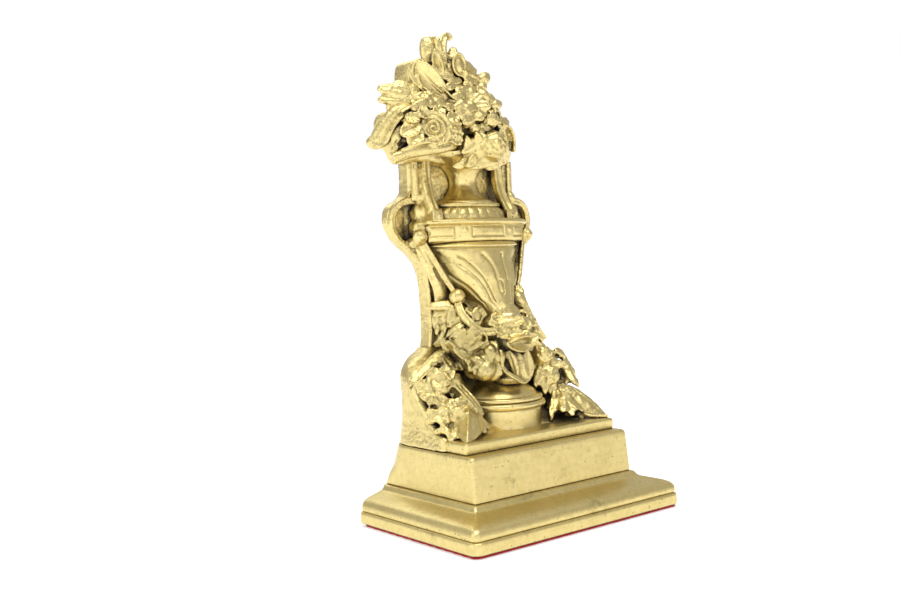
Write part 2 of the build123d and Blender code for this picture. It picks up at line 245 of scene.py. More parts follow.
class Finish:
    """A material with one principled shader, and the nodes that feed it."""

    def __init__(self, name):
        self.material = bpy.data.materials.new(name)
        self.material.use_nodes = True
        self.tree = self.material.node_tree
        self.tree.nodes.clear()
        self.shader = self.node("BsdfPrincipled")
        self.feed(self.node("OutputMaterial").inputs["Surface"], self.shader.outputs["BSDF"])

    def node(self, kind, **settings):
        node = self.tree.nodes.new("ShaderNode" + kind)
        for name, value in settings.items():
            setattr(node, name, value)
        return node

    def feed(self, socket, value):
        """Sets a socket to a number or a colour, or links it to another node's output."""
        if isinstance(value, (int, float)):
            socket.default_value = value
        elif isinstance(value, tuple):
            socket.default_value = (*value, 1)
        else:
            self.tree.links.new(value, socket)

    def shade(self, **inputs):
        """Feeds the shader's inputs, named with _ for a space."""
        for name, value in inputs.items():
            self.feed(self.shader.inputs[name.replace("_", " ")], value)
        return self.material

    def fed(self, kind, output, inputs, **settings):
        """An output of a new node that has the given inputs."""
        node = self.node(kind, **settings)
        for place, value in inputs.items():
            self.feed(node.inputs[place], value)
        return node.outputs[output]

    def math(self, operation, *values, clamp=False):
        return self.fed("Math", 0, dict(enumerate(values)), operation=operation, use_clamp=clamp)

    def times(self, first, second):
        return self.math("MULTIPLY", first, second)

    def most(self, first, second):
        return self.math("MAXIMUM", first, second)

    def remap(self, value, low, high, out_low=0.0, out_high=1.0):
        limits = {"Value": value, "From Min": low, "From Max": high, "To Min": out_low, "To Max": out_high}
        return self.fed("MapRange", "Result", limits, interpolation_type="SMOOTHSTEP")

    def mix(self, factor, first, second):
        return self.fed("Mix", 2, {0: factor, 6: first, 7: second}, data_type="RGBA")

    def point(self, stretch=(1.0, 1.0, 1.0)):
        """The place on the object in millimetres, stretched along each axis."""
        mapping = self.node("Mapping")
        mapping.inputs["Scale"].default_value = [k / MM for k in stretch]
        self.feed(mapping.inputs["Vector"], self.node("TexCoord").outputs["Object"])
        return mapping.outputs["Vector"]

    def noise(self, point, scale, detail=3.0, roughness=0.55):
        inputs = {"Vector": point, "Scale": scale, "Detail": detail, "Roughness": roughness}
        return self.fed("TexNoise", "Fac", inputs)

    def pits(self, point, scale, size, keep):
        """Scattered small dots: 1 inside a pit. keep is the share of the cells that hold one."""
        cells = self.node("TexVoronoi")
        cells.inputs["Scale"].default_value = scale
        self.feed(cells.inputs["Vector"], point)
        dot = self.remap(cells.outputs["Distance"], size * 0.5, size, 1.0, 0.0)
        pick = self.fed("SeparateColor", 0, {"Color": cells.outputs["Color"]})
        return self.times(dot, self.math("LESS_THAN", pick, keep))

    def bump(self, height, strength, distance, before=None):
        inputs = {"Strength": strength, "Distance": distance * MM, "Height": height}
        if before is not None:
            inputs["Normal"] = before
        return self.fed("Bump", "Normal", inputs)

    def shaded_pocket(self, point):
        """How near a place is to the pocket left of the urn's foot, where painted shade darkens the brass.
        """
        away = self.node("VectorMath", operation="DISTANCE")
        self.feed(away.inputs[0], point)
        away.inputs[1].default_value = POCKET
        return self.remap(away.outputs["Value"], POCKET_REACH, POCKET_REACH * 0.4)


def brass(name, recess, brushed, pit_share, reach, peppered):
    """Brass with bright edges, casting pits, slow changes of tone, and recesses darkened by patina and
    painted shade.

    recess is how dark the patina and painted shade in the hollows go, brushed the strength of the fine lines
    along flat faces, pit_share how many casting pits there are, reach the width in millimetres of the
    painted shade in a recess, and peppered how thickly the hollows are strewn with tiny dark specks.
    """
    make = Finish(name)
    point = make.point()
    mottle = make.noise(point, 0.42, 5.0, 0.65)
    grain = make.noise(point, 2.6, 4.0, 0.7)
    lines = make.noise(make.point((0.03, 0.03, 2.2)), 1.0, 4.0, 0.7)
    hole = make.most(make.pits(point, 0.55, 0.20, pit_share),
        make.pits(point, 0.16, 0.085, pit_share * 0.6))
    specks = make.most(make.pits(point, 1.05, 0.40, 0.55), make.pits(point, 0.6, 0.32, 0.5))

    # painted shade, with patina: ambient occlusion and concave creases darken the recesses
    shade = make.node("AmbientOcclusion", samples=8)
    shade.inputs["Distance"].default_value = reach * MM
    broken = make.math("MULTIPLY_ADD", grain, 0.9, -0.45)
    recess_shade_and_patina = make.remap(shade.outputs["AO"], 0.75, 0.25)
    recess_shade_and_patina = make.math("ADD", recess_shade_and_patina, make.times(broken, 0.55), clamp=True)
    bend = make.node("NewGeometry").outputs["Pointiness"]
    crease = make.remap(bend, 0.50, 0.44)
    edge = make.remap(bend, 0.51, 0.57)

    # slow changes of tone, stains and fine lines
    colour = make.mix(make.times(make.remap(mottle, 0.38, 0.68), 0.34), CLEAN_BRASS, WARM_BRASS)
    slow = make.remap(make.noise(point, 0.055, 2.0), 0.45, 0.7)
    colour = make.mix(make.times(slow, 0.25), colour, WARM_BRASS)
    stain = make.remap(make.noise(point, 0.07, 5.0, 0.7), 0.60, 0.72)
    colour = make.mix(make.times(stain, 0.55), colour, DULL_BRASS_AND_SHADE)
    colour = make.mix(make.times(make.remap(lines, 0.5, 0.72), 0.35 * brushed), colour, WARM_BRASS)
    # recesses darkened with patina and painted shade, with traces of dried polish in the deepest
    shallow_shade_and_patina = make.times(make.most(make.remap(recess_shade_and_patina, 0.1, 0.7), crease), 0.8 * recess)
    colour = make.mix(shallow_shade_and_patina, colour, DULL_BRASS_AND_SHADE)
    deep = make.times(make.remap(recess_shade_and_patina, 0.62, 0.98), recess)
    colour = make.mix(deep, colour, DARK_PATINA_AND_SHADE)
    residue = make.times(deep, make.remap(make.noise(point, 0.9, 2.0), 0.60, 0.70))
    colour = make.mix(make.times(residue, 0.7), colour, POLISH_WHITE)
    colour = make.mix(make.times(hole, 0.75), colour, DARK_PATINA_AND_SHADE)
    # dark specks and crust, thick near recesses, in patches and in the pocket left of the urn's foot, which
    # is also darkened with painted shade
    near = make.remap(make.math("MULTIPLY_ADD", mottle, 0.5, recess_shade_and_patina), 0.24, 0.50)
    crust = make.times(make.remap(make.noise(point, 0.8, 4.0, 0.8), 0.50, 0.64), 0.75)
    patch = make.times(make.remap(make.noise(point, 0.085, 3.0), 0.44, 0.62), 0.55)
    near = make.most(near, make.times(patch, peppered))
    pocket_shade = make.times(make.shaded_pocket(point), peppered)
    near = make.most(near, make.times(pocket_shade, make.remap(recess_shade_and_patina, 0.0, 0.35)))
    # painted shade over the pocket left of the urn's foot
    colour = make.mix(make.times(pocket_shade, 0.38), colour, DULL_BRASS_AND_SHADE)
    pepper = make.times(make.times(make.most(specks, crust), near), peppered)
    colour = make.mix(pepper, colour, DARK_PATINA_AND_SHADE)
    colour = make.mix(make.times(edge, 0.45), colour, EDGE_BRASS)

    rough = make.remap(grain, 0.3, 0.7, 0.26, 0.43)
    rough = make.math("MULTIPLY_ADD", shallow_shade_and_patina, 0.3, rough)
    rough = make.math("MULTIPLY_ADD", edge, -0.08, rough)
    normal = make.bump(grain, 0.5, 0.10)
    normal = make.bump(mottle, 0.35, 0.35, normal)
    normal = make.bump(lines, 0.5 * brushed, 0.06, normal)
    normal = make.bump(make.math("SUBTRACT", 1.0, hole), 0.8, 0.25, normal)
    return make.shade(Metallic=1.0, Base_Color=colour, Roughness=rough, Normal=normal)


def felt_material():
    make = Finish("felt")
    point = make.point()
    fibres = make.noise(point, 3.2, 6.0, 0.75)
    colour = make.mix(make.remap(fibres, 0.3, 0.7), (0.30, 0.002, 0.010), (0.58, 0.004, 0.022))
    clumps = make.remap(make.noise(point, 0.5, 3.0), 0.45, 0.7)
    colour = make.mix(make.times(clumps, 0.35), colour, (0.24, 0.004, 0.016))
    return make.shade(Base_Color=colour, Roughness=make.remap(fibres, 0.3, 0.7, 0.85, 1.0),
        Normal=make.bump(fibres, 0.8, 0.3), Sheen_Weight=0.15, Sheen_Roughness=0.5)


def steel_material():
    make = Finish("steel")
    grain = make.noise(make.point((0.05, 2.0, 2.0)), 1.0, 4.0)
    spangle = make.remap(make.noise(make.point(), 0.3, 4.0), 0.35, 0.65)
    return make.shade(Metallic=1.0, Base_Color=make.mix(spangle, (0.50, 0.50, 0.51), (0.62, 0.62, 0.62)),
        Roughness=make.remap(grain, 0.3, 0.7, 0.3, 0.5), Normal=make.bump(grain, 0.4, 0.05))


# recess and reach set how much painted shade, with patina, each finish lays in its hollows
RELIEF = brass("cast_brass", recess=1.0, brushed=0.0, pit_share=0.40, reach=8.0, peppered=1.0)
SMOOTH = brass("smooth_brass", recess=0.95, brushed=0.25, pit_share=0.30, reach=2.6, peppered=0.35)
PLINTH = brass("plinth_brass", recess=0.75, brushed=1.0, pit_share=0.18, reach=4.0, peppered=0.3)
FELT = felt_material()
STEEL = steel_material()


# ------------------------------------------------------------------ pieces
def mesh_piece(name, clay, material, voxel=None, soften=0, rough=0.0, fill=0.0):
    """Makes one piece of the clay in place of its CAD node.

    A voxel size fuses it, and fill closes the gaps narrower than twice that many millimetres.
    """
    mesh = bpy.data.meshes.new(name)
    points = np.vstack(clay.points) + np.array([0, 0, SOLE])
    mesh.from_pydata((points * MM).tolist(), [], clay.faces)
    mesh.update()
    piece = bpy.data.objects.new(name + "_cast", mesh)
    bpy.context.scene.collection.objects.link(piece)
    if voxel:
        remesh = piece.modifiers.new("fuse", "REMESH")
        remesh.mode = "VOXEL"
        remesh.voxel_size = voxel * MM
    if fill:
        for share in (fill, -fill):
            swell = piece.modifiers.new("fill", "DISPLACE")
            swell.mid_level = 0.0
            swell.strength = share * MM
            if share > 0:
                remesh = piece.modifiers.new("fuse", "REMESH")
                remesh.mode = "VOXEL"
                remesh.voxel_size = voxel * MM
    if soften:
        smooth = piece.modifiers.new("soften", "SMOOTH")
        smooth.factor = 0.5
        smooth.iterations = soften
    if rough:
        for size, share in ((4.0, 0.8), (1.4, 0.5)):
            texture = bpy.data.textures.new(f"{name}_{size}", "CLOUDS")
            texture.noise_scale = size * MM
            texture.noise_depth = 2
            swell = piece.modifiers.new("cast", "DISPLACE")
            swell.texture = texture
            swell.texture_coords = "LOCAL"
            swell.mid_level = 0.5
            swell.strength = rough * share * MM
    if piece.modifiers:
        graph = bpy.context.evaluated_depsgraph_get()
        final = bpy.data.meshes.new_from_object(piece.evaluated_get(graph))
        piece.modifiers.clear()
        piece.data = final
        bpy.data.meshes.remove(mesh)
    piece.data.materials.clear()
    piece.data.materials.append(material)
    for polygon in piece.data.polygons:
        polygon.use_smooth = True
    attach(piece, "root")
    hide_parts(name)
    return piece


def relief_piece(name, clay, voxel=FINE_VOXEL, soften=SOFTENING, rough=0.45, fill=0.45):
    return mesh_piece(name, clay, RELIEF, voxel, soften, rough, fill)


# ------------------------------------------------------------------ plinth
BASE_LOW, BASE_HIGH = node_box("base_slab")
BASE_HALF = (BASE_HIGH[0] - BASE_LOW[0]) / 2
BASE_DEPTH = BASE_HIGH[1] - BASE_LOW[1]
FRONT = BASE_LOW[1]
BLOCK_INSET = 14.9               # millimetres from the slab's side to the block's
BLOCK_SETBACK = 17.2             # and from its front
BLOCK_FOOT = 16.0
BLOCK_RISE = 19.0
BLOCK_LEAN = 1.5                 # how far the front leans back over that rise
TERRACE_SETBACK = 7.4


def plan_ring(half_width, y_front, front_corner, back_corner, z, pitch=2):
    """A ring of points round a plan outline, the same number at every level."""
    along = int(2 * BASE_HALF / pitch)
    deep = int(BASE_DEPTH / pitch)
    w, f, c = half_width, front_corner, back_corner
    arc = np.linspace(0, pi / 2, 9)
    ring = []
    for x in np.linspace(-w + f, w - f, along)[1:-1]:
        ring.append((x, y_front))
    for a in arc:
        ring.append((w - f + f * sin(a), y_front + f - f * cos(a)))
    for y in np.linspace(y_front + f, BACK - c, deep)[1:-1]:
        ring.append((w, y))
    for a in arc:
        ring.append((w - c + c * cos(a), BACK - c + c * sin(a)))
    for x in np.linspace(w - c, -w + c, along)[1:-1]:
        ring.append((x, BACK))
    for a in arc:
        ring.append((-w + c - c * sin(a), BACK - c + c * cos(a)))
    for y in np.linspace(BACK - c, y_front + f, deep)[1:-1]:
        ring.append((-w, y))
    for a in arc:
        ring.append((-w + f - f * cos(a), y_front + f - f * sin(a)))
    return [(x, y, z) for x, y in ring]


def course(profile, steps=6, front_stretch=1):
    """A moulded course from (side inset, height, front corner, back corner) points."""
    line = curve_through(profile, steps)
    clay = Clay()
    rings = [plan_ring(BASE_HALF - inset, FRONT + inset * front_stretch, front, max(rear, 0.3), z)
        for inset, z, front, rear in line]
    clay.add(*rings_shell(rings))
    return clay


def build_plinth():
    slab = course([(0.9, 0, 4, 1.5), (0.25, 0.35, 4.2, 1.6), (0, 1.2, 4.4, 1.7), (0, 2.8, 4.4, 1.7),
        (0.05, 4.2, 4.4, 1.7), (0.25, 4.9, 4.2, 1.7), (0.7, 5.3, 4, 1.6), (1.4, 5.55, 3.4, 1.5),
        (3, 5.8, 3, 1.5)], steps=4)
    mesh_piece("base_slab", slab, PLINTH, rough=0.12)

    moulding = course([(2.4, 5.2, 2.8, 1.4), (1.3, 5.5, 3, 1.5), (0.95, 6.2, 3, 1.6), (0.9, 7.4, 3, 1.6),
        (1.3, 8.8, 2.8, 1.6), (2.4, 10.1, 2.4, 1.6), (4.4, 11.1, 1.8, 1.6), (7, 11.9, 1.4, 1.6),
        (9.6, 12.6, 1.2, 1.6), (11.5, 13.2, 1, 1.6), (12.5, 13.8, 1, 1.6), (13.1, 14.6, 1, 1.6),
        (13.5, 15.3, 1, 1.6), (14.3, 15.7, 1, 1.6), (15.6, 15.9, 1, 1.6)], steps=4,
        front_stretch=BLOCK_SETBACK / BLOCK_INSET)
    mesh_piece("base_moulding", moulding, PLINTH, rough=0.15)

    block = Clay()
    rings = []
    profile = [(15.7, 15.7, 0.9, 1.6), (15.1, 16, 1, 1.8), (14.9, 16.8, 1.2, 2.4), (14.9, 19.9, 1.2, 4.6),
        (15, 25, 1.3, 10.6), (15.1, 30.4, 1.3, 14.4), (15.2, 33.6, 1.4, 16.2), (15.5, 34.5, 1.5, 16.6),
        (16.2, 34.95, 1.6, 16.8), (18.5, 35.1, 1.6, 17)]
    for inset, z, front, rear in curve_through(profile, 5):
        ahead = BLOCK_SETBACK + (z - BLOCK_FOOT) / BLOCK_RISE * BLOCK_LEAN + (inset - BLOCK_INSET)
        rings.append(plan_ring(BASE_HALF - inset, FRONT + ahead, front, rear, z))
    block.add(*rings_shell(rings))
    mesh_piece("plinth_block", block, PLINTH, rough=0.15)

    terrace = Clay()
    rings = []
    profile = [(18.3, 34.9, 1, 17), (17.6, 35.2, 1, 17), (17.3, 35.9, 1.2, 17.2), (17.2, 38.6, 1.2, 17.4),
        (17.4, 39.6, 1.2, 17.4), (18.2, 40.1, 1.4, 17.4), (20.5, 40.2, 1.4, 17.4)]
    for inset, z, front, rear in curve_through(profile, 5):
        rings.append(plan_ring(BASE_HALF - inset, FRONT + inset + TERRACE_SETBACK, front, rear, z))
    terrace.add(*rings_shell(rings))
    mesh_piece("terrace_step", terrace, PLINTH, rough=0.15)


def build_felt():
    """The felt pad under the foot: a thin sheet with round corners and a slightly uneven edge."""
    low, high = node_box("felt_pad")
    half = (np.array(high) - np.array(low)) / 2
    corner, columns, rows = 3, 124, 82
    u, v = np.meshgrid(np.linspace(-1, 1, columns), np.linspace(-1, 1, rows))
    x, y = u * half[0], v * half[1]
    over_x, over_y = np.abs(x) - (half[0] - corner), np.abs(y) - (half[1] - corner)
    inside = (over_x > 0) & (over_y > 0)
    reach = np.hypot(over_x, over_y)
    squeeze = np.where(inside, np.maximum(over_x, over_y) / np.maximum(reach, 1e-6), 1)
    x = np.where(inside, np.sign(x) * (half[0] - corner + over_x * squeeze), x)
    y = np.where(inside, np.sign(y) * (half[1] - corner + over_y * squeeze), y)
    rim = np.maximum(np.abs(u), np.abs(v)) ** 8
    fray = 1 - 0.003 * rim * (1 + np.sin(x * 0.9) * np.cos(y * 1.1 + 1))
    thickness = high[2] - low[2]
    middle = thickness / 2 + 0.03 * np.sin(x * 0.35) * np.cos(y * 0.4)
    grid = np.stack([x * fray, y * fray, middle - SOLE], 2)
    clay = Clay().add(*sheet_shell(grid, thickness - 0.08, taper=0.35))
    pad = mesh_piece("felt_pad", clay, FELT)


# ------------------------------------------------------------------ leaves and flowers by their ends
def petal(clay, base, tip, width, out=(-0.3, -1, 0.2), thick=1.7, **shape):
    """A leaf or petal from its stalk to its tip, its face turned towards out."""
    base = np.array(base, float)
    along = np.array(tip, float) - base
    length = np.linalg.norm(along)
    along /= length
    out = np.array(out, float)
    out -= along * out.dot(along)
    out /= np.linalg.norm(out)
    axes = np.array([along, np.cross(out, along), out])
    clay.add(*sheet_shell(blade_grid(length, width, **shape) @ axes + base, thick))


def petals(clay, leaves, **shape):
    """Petals from (base, tip, width) rows, which may go on with an out and a bend of their own."""
    for base, tip, width, *own in leaves:
        petal(clay, base, tip, width, **{**shape, **dict(zip(("out", "bend"), own))})


def bud(clay, base, tip, radius, point=0.55, ribs=0, rib=0.25, rows=18, columns=30):
    """A closed bud from its stalk to its tip, pointed below 1, with ribs along it."""
    base = np.array(base, float)
    along = np.array(tip, float) - base
    along_unit = along / np.linalg.norm(along)
    side = np.cross(along_unit, (0, 0, 1) if abs(along_unit[2]) < 0.9 else (1, 0, 0))
    side /= np.linalg.norm(side)
    other = np.cross(along_unit, side)
    turn = np.linspace(0, 2 * pi, columns, endpoint=False)
    across, upward = np.cos(turn)[:, None], np.sin(turn)[:, None]
    rings = []
    for s in np.linspace(0.01, 0.99, rows):
        r = radius * sin(pi * s ** point) ** 0.75 + 0.05
        r = r * (1 + rib / max(radius, 0.1) * np.cos(ribs * turn)) if ribs else r + 0 * turn
        rings.append(base + along * s + r[:, None] * (across * side + upward * other))
    clay.add(*rings_shell(np.array(rings)))


def buds(clay, rows, **shape):
    for base, tip, radius in rows:
        bud(clay, base, tip, radius, **shape)


def balls(clay, *rows):
    for place, radii in rows:
        ball(clay, place, radii)


def rose_spiral(clay, centre, radius, yaw, pitch, turns, height, seed=3):
    """The coiled heart of a rose seen from its open side."""
    turn = np.linspace(0.25, turns * 2 * pi, int(turns * 26))
    chance = np.random.default_rng(seed)
    ripple = 0.35 * np.sin(turn * 1.7 + chance.uniform(0, 6))
    reach = radius * (turn / turn[-1]) ** 0.85
    path = np.stack([reach * np.cos(turn + 0.3) + ripple, reach * np.sin(turn + 0.3) * 0.92,
        height * (1 - (reach / radius) ** 1.5) * 0.9], axis=1)
    line = put(path, centre, yaw, pitch)
    axes = facing(yaw, pitch)
    tangent = np.gradient(line, axis=0)
    tangent /= np.linalg.norm(tangent, axis=1, keepdims=True)
    across = np.cross(tangent, axes[2])
    across /= np.linalg.norm(across, axis=1, keepdims=True)
    section = np.linspace(0, 2 * pi, 12, endpoint=False)
    swell = np.where(np.sin(section) > 0, 0.9, 2.6) * np.sin(section)
    rings = []
    for p, u, r in zip(line, across, reach):
        wide = 0.42 + 0.35 * r / radius
        rings.append(p + wide * np.cos(section)[:, None] * u + swell[:, None] * axes[2])
    clay.add(*rings_shell(np.array(rings)[::-1]))


# ------------------------------------------------------------------ urn
FOOT_AXIS = 14.5                  # Y of the upright axes that the parts of the urn are turned about
STEM_AXIS = 6.0
NECK_AXIS = 33.2
NECK_BACK = 34.6                  # Y where the neck runs into the back
NECK_SHIFT = -1.2                 # the casting leans a little to the left above the urn's rim
BODY_BACK = 33.6
BAND_BACK = 33.5
BODY_SECTIONS = np.array([                    # centre Y, half width, half depth, height
    (11, 5.6, 5.8, 92), (13, 7.6, 7.6, 96), (19, 11.6, 12.2, 100), (25, 15.4, 16.8, 105),
    (29, 18.6, 19.8, 110), (33, 21.8, 21.6, 116), (33, 25.2, 19.8, 121), (33, 27.8, 17.6, 126)])


def smooth_lookup(at, places, values):
    """Reads a value off a smooth line through the given values."""
    rows = np.column_stack([places, values])
    fine = curve_through(rows, 12)
    return np.interp(at, fine[:, 0], fine[:, 1])


def line_distance(points, line):
    """Distance of every point from a broken line, both in the plane."""
    best = np.full(points.shape[:-1], 1e9)
    for a, b in zip(line[:-1], line[1:]):
        d = b - a
        t = np.clip(((points - a) @ d) / max(d @ d, 1e-9), 0, 1)
        near = a + t[..., None] * d
        best = np.minimum(best, np.linalg.norm(points - near, axis=-1))
    return best


def channel(distance, width, depth):
    return -depth * np.exp(-(distance / width) ** 2)


# marks on the cup's face as (degrees to the right of the front, height)
FACE_PER_DEGREE = 0.36           # millimetres across the face for one degree, for the width of a groove
LEFT_TONGUE = [(-14.5, 119.4), (-12.5, 118.6), (-10, 116.8), (-8, 115), (-6.8, 113), (-6.2, 110.5),
    (-6.8, 108.5)]
RIGHT_TONGUE = [(13, 119.4), (11.8, 118.2), (11.5, 116.5), (12.5, 114.5), (13.5, 112), (14.5, 109.5),
    (15.5, 107.5)]
PANEL_EDGE = [(46, 119), (39, 117.2), (35, 115), (31.5, 113), (28.5, 110.3), (26, 107.3), (25, 104),
    (27, 100.5), (30, 98)]
PANEL_FACE = [(50, 115.6), (44, 113.1), (40, 110.9), (36, 108.5), (34, 106), (33, 103.6), (34.5, 101.2),
    (40, 98.5)]
PANEL_UNDER = [(74, 110), (68, 107.6), (63, 105.8), (61.5, 103), (63, 100.5), (71, 97.5), (85, 95)]


def build_body():
    heights = np.linspace(90, 126, 130)
    steps = 300
    turn = np.linspace(-180, 180, steps, endpoint=False)
    cy = smooth_lookup(heights, BODY_SECTIONS[:, 3], BODY_SECTIONS[:, 0])[:, None]
    a = smooth_lookup(heights, BODY_SECTIONS[:, 3], BODY_SECTIONS[:, 1])[:, None]
    b = smooth_lookup(heights, BODY_SECTIONS[:, 3], BODY_SECTIONS[:, 2])[:, None]
    z = heights[:, None] + 0 * turn[None, :]
    angle = np.radians(turn)[None, :]
    flat = np.stack([turn[None, :] * FACE_PER_DEGREE + 0 * z, z], axis=2)
    scale = np.array([FACE_PER_DEGREE, 1])

    def away(line, mirror=False):
        marks = np.array(line, float) * scale
        place = flat * np.array([-1, 1]) if mirror else flat
        return line_distance(place, marks)

    relief = np.zeros_like(z)
    for tongue in (LEFT_TONGUE, RIGHT_TONGUE):
        path = away(tongue)
        head = np.linalg.norm(flat - np.array(tongue[0]) * scale, axis=2)
        relief += channel(path, 0.75, 0.65) + channel(head, 1.3, 0.55)
    eye = np.linalg.norm((flat - np.array([-1, 104.6]) * scale) / np.array([1, 1.35]), axis=2)
    relief += channel(np.abs(eye - 2.1), 0.45, 0.35) + 0.25 * np.exp(-(eye / 1.3) ** 2)
    under = np.linalg.norm((flat - np.array([-1, 102.8]) * scale) / np.array([1.2, 1]), axis=2)
    relief += channel(np.abs(under - 1.9), 0.4, 0.45) * (z < 102.6)
    for mirror in (False, True):
        edge = away(PANEL_EDGE, mirror)
        face = away(PANEL_FACE, mirror)
        lower = away(PANEL_UNDER, mirror)
        relief += channel(edge, 0.6, 0.75) + channel(face, 0.45, 0.4) + channel(lower, 0.6, 0.8)
        side = turn[None, :] * (-1 if mirror else 1)
        inner = np.interp(z, [p[1] for p in PANEL_FACE[::-1]], [p[0] for p in PANEL_FACE[::-1]])
        outer = np.interp(z, [p[1] for p in PANEL_UNDER[::-1]], [p[0] for p in PANEL_UNDER[::-1]])
        swell = np.clip((side - inner) / 8, 0, 1) * np.clip((outer - side) / 8, 0, 1) * (z < 116)
        relief += 0.7 * swell
    lip = np.clip((z - 123.2) / 1.6, 0, 1)
    relief += channel(np.abs(z - 122.9), 0.5, 0.35) + 0.9 * np.sin(lip * pi) + 0.2 * lip
    relief += -0.8 * np.clip((z - 125) / 0.5, 0, 1)
    x = (a + relief) * np.sin(angle)
    y = np.minimum(cy - (b + relief) * np.cos(angle), BODY_BACK)
    clay = Clay().add(*rings_shell(np.stack([x, y, z], axis=2)))
    mesh_piece("urn_body", clay, SMOOTH, rough=0.2, soften=1)


def build_foot():
    drum = Clay()
    lathe(drum, [(20.7, 39.6), (20.8, 40.1), (20.5, 40.9), (20.3, 41.8), (20.3, 44), (20.3, 47.5),
        (20.2, 49.2), (19, 49.6)], FOOT_AXIS)
    mesh_piece("urn_drum", drum, SMOOTH, rough=0.3)
    ring = Clay()
    profile = []
    for centre, height, size in ((21.2, 50.3, 1.35), (20.1, 52.9, 1.15)):
        for tilt in np.linspace(-pi / 2, pi / 2, 9):
            profile.append((centre + size * cos(tilt) * 0.9, height + size * sin(tilt)))
    lathe(ring, [(19, 48.6)] + profile + [(18.4, 54.2)], FOOT_AXIS)
    mesh_piece("urn_foot_ring", ring, SMOOTH, rough=0.15)
    dome = Clay()
    profile = curve_through([(19.3, 53.4), (18.7, 54.3), (17.6, 55.7), (15.8, 57.2), (13, 59),
        (9.5, 60.8), (7, 62.2), (5.8, 64)], 5)
    lathe(dome, profile, FOOT_AXIS)
    mesh_piece("urn_dome", dome, SMOOTH, rough=0.3)
    stem = Clay()
    profile = curve_through([(6.5, 60), (8, 62.5), (6.2, 65), (5, 68.5), (5.6, 74), (7.5, 80),
        (6, 92.5)], 6)
    lathe(stem, profile, STEM_AXIS)
    mesh_piece("urn_stem", stem, RELIEF, rough=0.3)


def build_band():
    half, ends, crown = 33, 27.6, 15.6
    radius = (half ** 2 + (ends - crown) ** 2) / (2 * (ends - crown))
    reach = np.degrees(np.arcsin(half / radius))
    steps = 260
    sweep = np.radians(np.linspace(-reach * 0.86, reach, steps))
    profile = [(-1, 125.2), (0.6, 125.7), (1.5, 126.3), (1.8, 127.2), (1.9, 128.6), (1.9, 130.9),
        (1.8, 133), (1.7, 133.5), (2.2, 133.8), (3, 134.5), (3.1, 135.4), (2.5, 136.2), (0.6, 136.8)]
    rows = curve_through(profile, 7)
    rings = []
    for proud, z in rows:
        along = sweep * radius
        recess = np.zeros(steps)
        face = 1.0 if 127.6 < z < 133.6 else 0.0
        edge_z = min(z - 128.4, 133.0 - z)
        for low, high in ((-9.4, 10), (18.8, 29.6), (-30.5, -18.4)):
            inside = np.minimum(np.minimum(along - low, high - along), edge_z)
            recess += face * (channel(np.abs(inside), 0.5, 0.5) + 0.15 * np.clip(inside, 0, 1))
        for place in (-13.4, 14.4):
            recess += 0.75 * np.exp(-(((along - place) ** 2 + (z - 131.3) ** 2) / 1.3) ** 2)
        depth = radius + proud - 1.9 + recess
        x = depth * np.sin(sweep)
        y = crown + radius - depth * np.cos(sweep)
        front = np.stack([x, y, z + 0 * x], 1)
        behind = np.linspace(x[-1], x[0], 40)[1:-1]
        backs = np.stack([behind, BAND_BACK + 0 * behind, z + 0 * behind], 1)
        corner_right = np.array([[x[-1], (y[-1] + BAND_BACK) / 2, z], [x[-1], BAND_BACK, z]])
        corner_left = np.array([[x[0], BAND_BACK, z], [x[0], (y[0] + BAND_BACK) / 2, z]])
        rings.append(np.vstack([front, corner_right, backs, corner_left]))
    clay = Clay().add(*rings_shell(np.array(rings)))
    mesh_piece("rim_band", clay, SMOOTH, rough=0.2, soften=1)


def build_neck():
    steps = 420
    turn = np.linspace(-180, 180, steps, endpoint=False)
    angle = np.radians(turn)
    lobes = 26
    rings = []
    rows = curve_through([(23, 15.2, 135.6, 0), (23.3, 15.5, 136.6, 0), (23.2, 15.4, 137.2, 0.15),
        (22.9, 15.1, 137.9, 0.6), (22.4, 14.6, 139.2, 1), (21.4, 13.8, 140.6, 1),
        (20.3, 13.1, 141.6, 0.5), (19.4, 12.6, 142.1, 0), (19.9, 13, 142.5, 0), (20.1, 13.2, 143.2, 0),
        (19.6, 12.8, 144, 0), (17.8, 12, 144.5, 0)], 5)
    for a, b, z, deep in rows:
        relief = 0.85 * deep * (np.abs(np.cos(angle * lobes / 2)) ** 0.7 - 0.5)
        x = (a + relief) * np.sin(angle) + NECK_SHIFT / 2
        y = np.minimum(NECK_AXIS - (b + relief) * np.cos(angle), NECK_BACK)
        rings.append(np.stack([x, y, z + 0 * x], 1))
    clay = Clay().add(*rings_shell(np.array(rings)))
    mesh_piece("gadroon_ring", clay, RELIEF, rough=0.15, soften=1)

    neck = Clay()
    rings = []
    rows = curve_through([(15.5, 13.4, 143.6), (14.6, 12.9, 145), (11.4, 10.6, 146.6), (9.2, 8.7, 148.8),
        (7.6, 7.3, 151.2), (7, 6.7, 153.7), (7.6, 7.2, 156.6), (9.3, 8.8, 159.4), (13, 11.8, 162.4),
        (17.6, 14.6, 165.4), (19.5, 15.5, 168)], 6)
    for a, b, z in rows:
        x = a * np.sin(angle) + NECK_SHIFT
        y = np.minimum(NECK_AXIS - b * np.cos(angle), NECK_BACK)
        rings.append(np.stack([x, y, z + 0 * x], 1))
    neck.add(*rings_shell(np.array(rings)))
    mesh_piece("urn_neck", neck, SMOOTH, rough=0.35)


